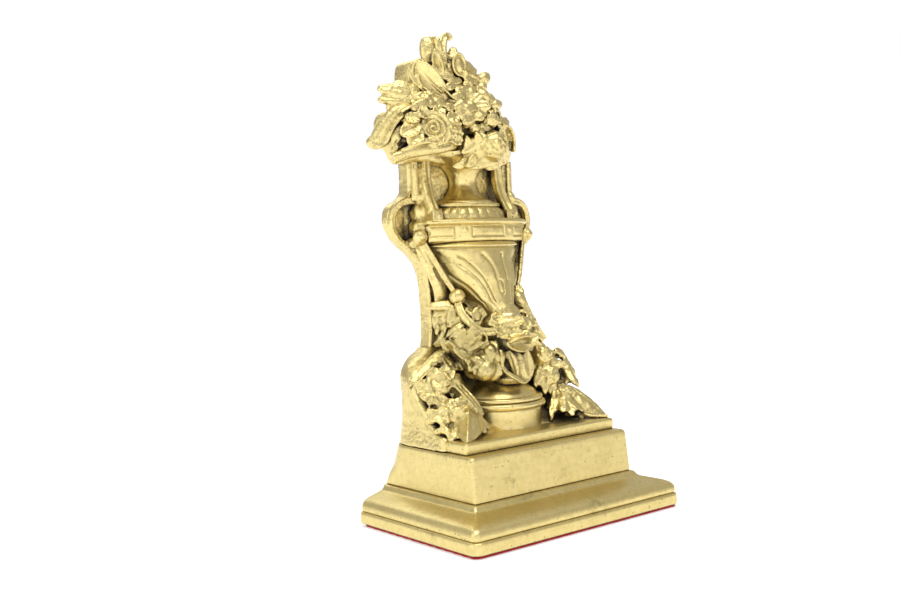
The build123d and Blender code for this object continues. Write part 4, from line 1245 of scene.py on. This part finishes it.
# ------------------------------------------------------------------ flowers of the foot
def build_centre_flower():
    clay = Clay()
    ball(clay, (2, 11, 84.5), (12.5, 9.5, 8.5))
    ball(clay, (1, 5.5, 86), (11.5, 5.5, 7.5), yaw=-15, pitch=15)
    ball(clay, (1.5, 8, 92), (7.5, 5, 4))
    chance = np.random.default_rng(21)
    # ruffled petals in rows one above the other
    tiers = [(93.5, 6.5, -6, 7, 5, 4.4), (90.5, 3.6, -9.5, 11.5, 6, 5), (87, 1.4, -10, 14.5, 6, 5.4),
        (84, 0.2, -9, 15, 5, 5.4)]
    for height, near, left, right, count, size in tiers:
        for x in np.linspace(left, right, count):
            lean = (x - 2) / 14.0
            base = (x * 0.72 + 0.6, near + 2.6 + 1.5 * abs(lean), height - 1.6)
            tip = (x + chance.uniform(-1, 1), near + 3.0 * lean ** 2 + chance.uniform(-0.6, 0.6),
                height + chance.uniform(0.6, 2.4))
            petal(clay, base, tip, size * chance.uniform(0.95, 1.3), out=(-0.3 + 0.3 * lean, -0.8, 0.6),
                thick=1.6, bend=chance.uniform(20, 50), cup=0.35, rim=0.45, wave=0.6, waves=1.5,
                blunt=0.45, point=1.5)
    leaves = [((-4, 4, 88), (-11, 7.5, 87), 6), ((8, 2, 87), (16, 5, 86.6), 6),
        ((-3.5, 0.6, 85.5), (-10.5, 3.5, 83.5), 5.5), ((8, 0.6, 83.5), (15.6, 3.8, 82.5), 5.5),
        ((-2, -0.6, 87.6), (4, -1, 89), 5), ((2, -1, 85), (8.6, -0.6, 86.4), 5)]
    petals(clay, leaves, out=(-0.35, -0.8, 0.5), thick=1.8, bend=26, cup=0.4, rim=0.5, wave=0.5)
    # the lower petals: a shallow bowl on the left and a curled one on the right
    petal(clay, (5, -2.6, 79.6), (-9.6, -3, 79.4), 7.5, out=(-0.35, -0.9, -0.2), thick=2, bend=14,
        cup=0.9, rim=0.7, point=0.9, blunt=0.5)
    petal(clay, (-9.8, 0, 82.4), (4.6, -3.6, 82.2), 5, out=(-0.4, -0.75, 0.6), thick=1.8, bend=18,
        cup=0.4, wave=0.6, rim=0.5)
    petal(clay, (1, -2.6, 78.6), (11.4, -0.6, 80.6), 5.6, out=(-0.2, -0.9, 0.3), thick=1.9, bend=34,
        cup=0.6, rim=0.6)
    ribbon(clay, [(3.6, -2.6, 76.4), (7, -3.4, 77.6), (9.6, -2.6, 80.4), (9, -1.4, 82.6)], 2.2, 2.2,
        out=(-0.3, -0.9, 0.1))
    # the folded leaf that hangs under it
    ball(clay, (0.6, 4.5, 71.5), (5.4, 7.5, 4.6))
    petal(clay, (-5.6, -0.8, 75.6), (-1.6, -2.8, 63), 4.8, out=(-0.95, -0.4, 0.1), thick=2, bend=10,
        midrib=0.3)
    petal(clay, (4.6, -1.2, 76), (3, -2.8, 62), 6.4, out=(-0.1, -1, 0), thick=2.2, bend=12, cup=0.3,
        midrib=0.4, rim=0.5, point=1.2)
    petal(clay, (-1, -0.4, 76), (0.6, -2.6, 61), 6.4, out=(-0.6, -0.8, 0), thick=2, bend=8, cup=-0.3,
        point=1.2)
    ribbon(clay, [(-10, 0, 70.4), (-9, -2.6, 66.4), (-5, -4.4, 63.4), (-0.6, -4.6, 61.2),
        (4, -3.2, 62.4)], 3.2, 2.2, out=(-0.4, -0.75, 0.55), ends=(0.6, 0.8), groove=0.5)
    bud(clay, (-8.6, 2, 76.5), (-10.2, -1.6, 69), 2.2)
    relief_piece("centre_flower", clay, voxel=0.34, rough=0.35, fill=0.5)


def build_left_garland():
    clay = Clay()
    lumps = [((-18, 19, 75), (5, 8.5, 6)), ((-20, 29, 90), (4.5, 7, 5)), ((-13, 14, 68), (6, 6, 6.5))]
    balls(clay, *lumps)
    litter(clay, (-21.5, 26, 84), (5.5, 5, 12), 26, 3, 51, out=(-0.5, -0.8, 0.2), spread=0.8)
    litter(clay, (-13.5, 15, 91), (4.5, 4.5, 6), 16, 3, 52, out=(-0.5, -0.8, 0.2), spread=0.8)
    ball(clay, (-12, 31, 93), (8, 6, 9))
    litter(clay, (-12, 29, 94), (7, 5.5, 8), 22, 3.2, 54, out=(-0.5, -0.8, 0.2), spread=0.8)
    leaves = [((-18.8, 19.5, 97.4), (-32, 25.4, 97.8), 5.6, (-0.3, -0.75, 0.6)),
        ((-20, 20, 95.6), (-28.6, 24.4, 92.6), 4.4, (-0.4, -0.85, 0.3)),
        ((-19.8, 18, 96.6), (-24.8, 18.6, 89), 4.6, (-0.6, -0.8, 0.2)),
        ((-18.6, 12.6, 89), (-28.6, 15.4, 84.2), 4.4, (-0.4, -0.65, 0.65)),
        ((-19, 14, 91.5), (-25.4, 19, 87.4), 4, (-0.5, -0.8, 0.3)),
        ((-20.5, 12, 86.5), (-27.5, 14.6, 79.8), 4, (-0.6, -0.75, 0.2))]
    petals(clay, leaves, thick=2, bend=-14, cup=-0.55, midrib=0.7, veins=4, vein=0.25)
    # the open trumpet, its mouth upwards and its stalk low on the left
    foot = (-23.6, 11, 72)
    folds = [((-29.4, 13, 82.6), 3.6, (-0.9, -0.4, 0.1), 30),
        ((-26.6, 10.4, 86.2), 3.8, (-0.7, -0.7, 0.1), 14),
        ((-23.4, 9.6, 87.4), 3.4, (-0.5, -0.85, 0.1), 30), ((-20, 6.4, 87), 3.8, (-0.3, -0.95, 0.1), 12),
        ((-17, 6.2, 84.6), 3.2, (0, -0.95, 0.2), 30), ((-14.8, 4.4, 80.4), 3.8, (0.1, -0.95, 0), 14)]
    for tip, wide, out, curl in folds:
        petal(clay, foot, tip, wide, out=out, thick=1.8, bend=curl, cup=-0.7, rim=0.3, midrib=0.9,
            point=1.5, blunt=0.4)
    ribbon(clay, [(-28.6, 12.8, 82.4), (-26.2, 9, 86.6), (-23.4, 7.4, 84.8), (-20.6, 5.4, 87.4),
        (-18.2, 5.4, 83.8), (-15.6, 3.6, 84), (-14, 3.6, 80)], 1.5, 2.2, out=(-0.4, -0.75, 0.5),
        ends=(0.6, 0.8))
    petal(clay, (-26, 15, 76), (-30.6, 16.5, 82), 4.4, out=(-0.7, -0.6, 0.3), thick=1.8, bend=-20, cup=-0.5)
    petal(clay, (-22, 9, 73.5), (-27.6, 11.5, 77.5), 4, out=(-0.6, -0.7, 0.2), thick=1.8, bend=24,
        cup=0.4, rim=0.4)
    bud(clay, (-13.2, 4, 79), (-15.6, -0.6, 72), 2.9, point=0.9)
    bud(clay, (-10.8, 3.6, 77.5), (-11.8, -0.8, 70.5), 2.5, point=0.9)
    petal(clay, (-10.5, 4, 81), (-12.6, 0, 75), 4.4, out=(-0.5, -0.8, 0.2), thick=2, bend=14, cup=-0.3)
    ball(clay, (-17, 2.6, 67.6), (5.4, 4.4, 4.8), spin=35)
    ball(clay, (-12, 3.4, 65.6), (3.4, 3.6, 4))
    closed = [((-22, 8, 73.5), (-18.6, 0.6, 71.4), 2), ((-19.5, 6.5, 74), (-14.6, -0.6, 70.8), 1.6),
        ((-10, 3, 72), (-10.8, -1.2, 64.6), 2.2)]
    buds(clay, closed, point=0.9)
    litter(clay, (-17.5, 9, 68), (7.5, 5.5, 5.5), 10, 3, 53, out=(-0.5, -0.8, -0.1))
    relief_piece("left_garland", clay)


def build_left_foliage():
    clay = Clay()
    lumps = [((-35, 17, 55), (9, 8.5, 7)), ((-30, 8, 48), (10, 6, 6.5)), ((-28, 24, 66), (9, 8, 6))]
    balls(clay, *lumps)
    litter(clay, (-31, 15, 60), (11.5, 8, 12.5), 34, 5.4, 61, spread=1)
    litter(clay, (-35, 4, 50.5), (9, 6, 4.5), 10, 4.8, 62, out=(-0.5, -0.75, 0.5), spread=0.8)
    for place, seed in (((-42.6, 1, 45), 63), ((-43, 5.6, 50), 64), ((-43, 10.4, 55.6), 65),
            ((-42.4, 15, 60.6), 66)):
        litter(clay, place, (2.6, 3.4, 3.4), 5, 4.6, seed, out=(-0.6, -0.65, 0.45), spread=0.8)
    petal(clay, (-24, 22.4, 77), (-47.6, 18, 63), 6.4, out=(-0.5, -0.6, 0.65), thick=2.2, bend=-10,
        cup=-0.6, midrib=0.8, side=-0.05)
    ribbon(clay, [(-26, 20.6, 73.6), (-33, 18.6, 70), (-40, 17.2, 66.6), (-47, 17, 62.4)], 1.5, 2.4,
        out=(-0.4, -0.8, 0.2), ends=(1, 0.5))
    closed = [((-22, 24, 80), (-21.8, 20, 74.6), 2.9), ((-26, 24, 76.5), (-24.6, 19.4, 71.4), 2.7),
        ((-29, 21.5, 73), (-27.6, 17, 68), 2.9), ((-23, 25, 86), (-24.4, 22, 81), 2.2),
        ((-23.5, 20.5, 70.5), (-22.6, 17, 66.5), 2.4), ((-20, 19, 72), (-20, 15, 67), 2.2)]
    buds(clay, closed, point=0.9)
    # the leaf that curls round a dark pocket
    ribbon(clay, [(-38, 14.8, 67), (-41.4, 12.4, 65.6), (-42.6, 10.6, 62), (-42.6, 8.4, 58.6),
        (-42.4, 6.4, 55.8), (-40, 4, 53.6), (-36.6, 3, 52.6)], 3, 2.8, out=(-0.6, -0.7, 0.3),
        ends=(0.6, 0.8), groove=0.4)
    bud(clay, (-40, 9.6, 60.6), (-33, 8, 60.2), 2.5, point=0.7)
    petal(clay, (-41, 11.4, 63.6), (-33, 9.6, 62.2), 4, out=(-0.5, -0.65, 0.7), thick=2, bend=16, cup=0.4,
        rim=0.4)
    petal(clay, (-38.5, 13, 66), (-30.5, 12, 66.2), 4.6, out=(-0.4, -0.7, 0.6), thick=2, bend=12, cup=0.3)
    petal(clay, (-42, 8, 58), (-36.4, 5.2, 55), 4, out=(-0.6, -0.7, 0.4), thick=1.8, bend=20, cup=0.4,
        rim=0.4)
    # a bright leaf and the thin stems that run down from it
    petal(clay, (-34.5, 12, 66.6), (-26.6, 7, 61), 6, out=(-0.4, -0.75, 0.5), thick=2.2, bend=-20,
        cup=-0.5, midrib=0.5)
    for shift, size in ((-1.8, 1.5), (0.4, 1), (2.6, 0.9)):
        ribbon(clay, [(-31.0 + shift, 12, 68), (-29.6 + shift, 7.4, 62), (-27.4 + shift, 3, 57),
            (-25.2 + shift * 0.8, 0, 52.6), (-23.2 + shift * 0.4, -1.4, 48.6)], size, 2,
            out=(-0.4, -0.8, 0.5), ends=(1, 0.6))
    # veined leaves low on the left, lying over the side
    leaves = [((-33, 3, 54), (-45.4, 10.5, 52.6), 4.6), ((-33, 0.5, 51.5), (-45.6, 6.5, 49.4), 5),
        ((-30, 3, 55.5), (-39, 4.6, 54.6), 4.4), ((-27.5, 0, 52.5), (-37.5, -1, 50.6), 4.6),
        ((-30.5, -1, 49.5), (-44.6, 0.6, 46.2), 5), ((-26.5, -1.4, 50), (-31.6, -4.6, 46.4), 4)]
    petals(clay, leaves, out=(-0.5, -0.6, 0.65), thick=2, bend=-18, cup=-0.5, midrib=0.8, veins=5,
        vein=0.35, wave=0.6, waves=2.5)
    # the folded leaf at the front corner and the little ones beside it
    petal(clay, (-31, -1.6, 51.6), (-42, -13.4, 39.6), 13, out=(-0.55, -0.7, 0.45), thick=2.4, bend=-4,
        cup=-0.7, midrib=-1.2, point=0.62, blunt=1)
    petal(clay, (-36, 1, 48), (-45, -5, 41), 6.5, out=(-0.8, -0.4, 0.45), thick=2.2, bend=-16, cup=-0.5,
        midrib=0.6, point=0.9)
    petal(clay, (-27, -1, 48.5), (-21.4, -5.4, 42.4), 4.4, out=(-0.2, -0.8, 0.6), thick=2, bend=-16,
        cup=-0.4, midrib=0.7)
    petal(clay, (-28.5, -2, 47), (-25.6, -7.4, 41.4), 4.4, out=(-0.2, -0.8, 0.6), thick=2, bend=-16,
        cup=-0.4, midrib=0.7)
    relief_piece("left_foliage", clay, soften=3, fill=0.6)


def build_right_garland():
    clay = Clay()
    lumps = [((28, 24, 64), (11, 9, 7)), ((20, 18, 62), (7, 6, 6)), ((35, 20, 54), (8, 7, 7)),
        ((21, 20, 77), (4, 7, 5))]
    balls(clay, *lumps)
    litter(clay, (28, 16, 63), (12.5, 8, 9.5), 36, 5.2, 71, out=(-0.25, -0.8, 0.45), spread=1)
    # thin stems behind the centre flower
    for shift in (0, 1.6, 3.2, 4.8):
        ribbon(clay, [(13.5 + shift, 6.6, 79.6 - shift * 0.3), (18.5 + shift, 7.8, 75.6 - shift * 0.2),
            (24.0 + shift, 10, 71.8)], 1.1, 2.4, out=(-0.3, -0.8, 0.5))
    # the ribbed leaf on the shoulder
    petal(clay, (23, 11, 75), (45.5, 16.5, 69), 6.4, out=(-0.1, -0.7, 0.7), thick=2, bend=-16, cup=-0.4,
        midrib=0.9, veins=9, vein=0.35)
    petal(clay, (22.5, 10.6, 76.6), (36, 14.5, 73), 4.4, out=(-0.1, -0.7, 0.7), thick=2, bend=-14,
        cup=-0.4, midrib=0.7)
    # the big open flower round a hollow
    centre = np.array([33, 8.6, 60.4])
    yaw, pitch = -26, 26
    axes = facing(yaw, pitch)
    spread = [(0, 8, 7.5, 60), (34, 8.2, 7.5, 56), (70, 8.6, 7.5, 50), (106, 9, 7.5, 46),
        (142, 9.4, 7.5, 42), (178, 9.6, 7.5, 42), (214, 9.2, 7.5, 46), (250, 8.8, 7.5, 52),
        (288, 8.2, 7.5, 56), (324, 8, 7.5, 60)]
    for spin, reach, wide, curl in spread:
        blade(clay, centre - axes[2] * 3.2, reach, wide, yaw, pitch, spin, thick=2.4, bend=curl, cup=0.2,
            point=1.8, blunt=0.6, wave=0.9, waves=1.4, rim=0.8, midrib=0.4)
    ball(clay, centre - axes[2] * 3.8, (4, 3.6, 1.6), yaw, pitch)
    globe_bloom(clay, (23.6, 8.6, 70.4), 4.6, -20, 20, seed=14, outer=4, inner=3)
    globe_bloom(clay, (25.4, 5.6, 60.6), 4.4, -25, 10, seed=15, outer=4, inner=3)
    petal(clay, (39.4, 8.6, 65), (36.6, 3.6, 54.6), 4.6, out=(-0.5, -0.85, 0.1), thick=2.6, bend=20,
        cup=-0.5, side=0.2)
    petal(clay, (24.5, 7.6, 65), (36.5, 5, 64.4), 4, out=(-0.2, -0.75, 0.65), thick=1.8, bend=18, cup=0.3,
        rim=0.4)
    # serrated leaves on the left of it and along the right edge
    leaves = [((22, 6.6, 66), (15, 4.6, 57), 4.6), ((23, 5.6, 63), (18.4, 1.6, 53.4), 4.8),
        ((26, 4.6, 59.5), (22.6, 0.4, 51.2), 4.8), ((29, 3.6, 56.5), (27.4, 0.4, 50.4), 4.4),
        ((24.5, 5, 66.5), (19.4, 4.4, 61.6), 4)]
    petals(clay, leaves, out=(-0.5, -0.7, 0.45), thick=1.9, bend=-14, cup=-0.45, midrib=0.9, veins=5,
        vein=0.4, wave=0.5, waves=4)
    leaves = [((40, 14, 72), (49.4, 14, 63.4), 5), ((42, 12, 66.5), (51, 11, 58), 4.8),
        ((41, 9.4, 61), (49, 7, 53.4), 4.8), ((36.5, 12, 72), (45.4, 12.6, 68), 4.6)]
    petals(clay, leaves, out=(0.1, -0.8, 0.55), thick=1.9, bend=-16, cup=-0.45, midrib=0.8, veins=4,
        vein=0.4, wave=0.5, waves=3)
    relief_piece("right_garland", clay, soften=3, fill=0.6)


def build_right_foliage():
    clay = Clay()
    ball(clay, (34, 9, 45), (10, 6, 6.5))
    ball(clay, (26, 4, 46), (5, 5, 4))
    litter(clay, (31, 4, 50), (9.5, 6.5, 6), 24, 3.6, 81, out=(-0.2, -0.75, 0.55))
    # the hanging cup
    leaves = [((29, 1.5, 53), (22.3, -6.4, 43.4), 5.6, (-0.7, -0.7, 0.3)),
        ((29.5, 1, 53), (25.6, -8.4, 41.4), 4.6, (-0.4, -0.85, 0.3)),
        ((30.5, 1, 53), (31.6, -7.8, 42.6), 5.2, (0.4, -0.85, 0.3)),
        ((29, 0.6, 52), (28.4, -8.6, 44), 3.6, (0, -0.9, 0.4))]
    petals(clay, leaves, thick=1.9, bend=20, cup=-0.4, midrib=0.4, point=1.4, rim=0.4)
    ball(clay, (26.8, -4.4, 43.6), (2, 2, 2.2))
    petal(clay, (24, 1.5, 51), (18.6, -3.6, 44), 3.8, out=(-0.5, -0.8, 0.3), thick=1.9, bend=-12,
        cup=-0.4, midrib=0.6)
    petal(clay, (22, 1, 48.5), (16.2, -4.8, 42.4), 3, out=(-0.5, -0.8, 0.3), thick=1.9, bend=-12,
        cup=-0.4, midrib=0.6)
    # the broad leaf that sweeps to the corner of the terrace
    petal(clay, (35, 4.6, 55), (44.4, -15, 40.6), 11, out=(0, -0.6, 0.8), thick=2.2, bend=-16, cup=-0.25,
        midrib=1.1, veins=5, vein=0.35, side=0.06, point=0.85)
    petal(clay, (36, 3, 52), (33, -9, 41.4), 7, out=(-0.3, -0.6, 0.7), thick=2, bend=-16, cup=-0.35,
        midrib=0.8, veins=4, vein=0.3, wave=0.4)
    petal(clay, (40, 6, 53.5), (46.4, -6, 43), 6, out=(0.2, -0.6, 0.75), thick=2.2, bend=-16, cup=-0.4,
        midrib=0.8)
    ribbon(clay, [(33, -3.6, 45), (36, -9, 41.6), (43.4, -14.6, 41)], 1.8, 1.8, out=(0, -0.6, 0.8))
    relief_piece("right_foliage", clay, soften=3, fill=0.6)


# ------------------------------------------------------------------ stage, light and camera
def build_stage():
    """White paper under and behind the object, which glows with painted light that grows brighter with
    distance.
    """
    reach = 6.0
    mesh = bpy.data.meshes.new("floor")
    corners = [(-reach, -reach, 0), (reach, -reach, 0), (reach, reach, 0), (-reach, reach, 0)]
    mesh.from_pydata(corners, [], [(0, 1, 2, 3)])
    floor = bpy.data.objects.new("floor", mesh)
    bpy.context.scene.collection.objects.link(floor)
    make = Finish("floor_paper")
    grain = make.noise(make.point(), 0.4, 3.0)
    distance = make.node("VectorMath", operation="LENGTH")
    make.feed(distance.inputs[0], make.node("TexCoord").outputs["Object"])
    # painted light: the paper glows, weakly near the object and fully far from it
    painted_glow = make.remap(distance.outputs["Value"], 0.15, 1.3, 0.32, 1.0)
    mesh.materials.append(make.shade(Base_Color=make.mix(grain, (0.90, 0.90, 0.89), (0.93, 0.93, 0.92)),
        Roughness=0.9, Emission_Color=(1.0, 1.0, 1.0), Emission_Strength=painted_glow))

    world = bpy.data.worlds.new("studio")
    bpy.context.scene.world = world
    world.use_nodes = True
    tree = world.node_tree
    room = tree.nodes["Background"]
    backdrop = tree.nodes.new("ShaderNodeBackground")
    for node, colour, strength in ((room, (1.0, 0.99, 0.94, 1), 0.55), (backdrop, (1.0, 1.0, 1.0, 1), 1.0)):
        node.inputs["Color"].default_value = colour
        node.inputs["Strength"].default_value = strength
    seen = tree.nodes.new("ShaderNodeLightPath")
    choose = tree.nodes.new("ShaderNodeMixShader")
    sources = (seen.outputs["Is Camera Ray"], room.outputs[0], backdrop.outputs[0])
    for source, socket in zip(sources, choose.inputs):
        tree.links.new(source, socket)
    tree.links.new(choose.outputs[0], tree.nodes["World Output"].inputs["Surface"])


def area_light(name, place, target, size, power, colour=(1, 1, 1)):
    data = bpy.data.lights.new(name, "AREA")
    data.shape = "RECTANGLE"
    data.size, data.size_y = size
    data.energy = power
    data.color = colour
    light = bpy.data.objects.new(name, data)
    bpy.context.scene.collection.objects.link(light)
    light.location = place
    light.rotation_euler = (Vector(target) - Vector(place)).to_track_quat("-Z", "Y").to_euler()


CAMERA_AZIMUTH = 38.47           # degrees to the left of the front
CAMERA_ELEVATION = 2.21
CAMERA_ROLL = 2.31
CAMERA_PLACE = (-0.3220, -0.3579, 0.1192)
LENS = 42.14


def build_camera():
    azimuth, elevation, roll = radians(CAMERA_AZIMUTH), radians(CAMERA_ELEVATION), radians(CAMERA_ROLL)
    level = cos(elevation)
    back = Vector((-sin(azimuth) * level, -cos(azimuth) * level, sin(elevation)))
    right = Vector((cos(azimuth), -sin(azimuth), 0))
    up = back.cross(right)
    level_axes = Matrix((right, up, back)).transposed()
    data = bpy.data.cameras.new("camera")
    data.lens = LENS
    data.sensor_width = 36
    data.clip_start = 0.01
    camera = bpy.data.objects.new("camera", data)
    bpy.context.scene.collection.objects.link(camera)
    turned = level_axes @ Matrix.Rotation(-roll, 3, "Z")
    camera.matrix_world = Matrix.Translation(CAMERA_PLACE) @ turned.to_4x4()
    bpy.context.scene.camera = camera


build_camera()
build_stage()
area_light("window", (-1.3, 0.1, 0.7), (0, 0, 0.1), (1.3, 1.1), 5.6, (0.93, 1.0, 0.93))
area_light("top", (-0.1, -0.3, 1.4), (0, 0, 0.1), (0.9, 0.9), 9, (0.97, 1.0, 0.95))
area_light("behind", (0.3, 0.9, 1.1), (0, 0, 0.1), (0.9, 0.7), 3.5, (0.97, 1.0, 0.95))
area_light("front", (0.2, -1.5, 0.5), (0, 0, 0.1), (0.7, 0.7), 2.0)
area_light("beside_camera", (-0.75, -0.95, 0.30), (0, 0, 0.13), (1.0, 0.7), 1.6)
bpy.context.scene.view_settings.view_transform = "Standard"

build_plinth()
build_felt()
build_foot()
build_body()
build_band()
build_neck()
build_mound()
build_plate()
build_bouquet_back()
build_side("left", -1)
build_side("right", 1)
for build in (build_rose, build_daisy, build_lower_flower, build_rolled_leaf, build_low_petals,
        build_leaf_fan, build_rimmed_leaf, build_top_leaves, build_top_buds, build_right_buds,
        build_right_flower, build_centre_flower, build_left_garland, build_left_foliage,
        build_right_garland, build_right_foliage):
    build()

for node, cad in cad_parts.items():
    cad.data.materials.clear()
    if node == "felt_pad":
        cad.data.materials.append(FELT)
    elif node in ("closing_plate", "closing_screws", "tie_screws"):
        cad.data.materials.append(STEEL)
    else:
        cad.data.materials.append(RELIEF)
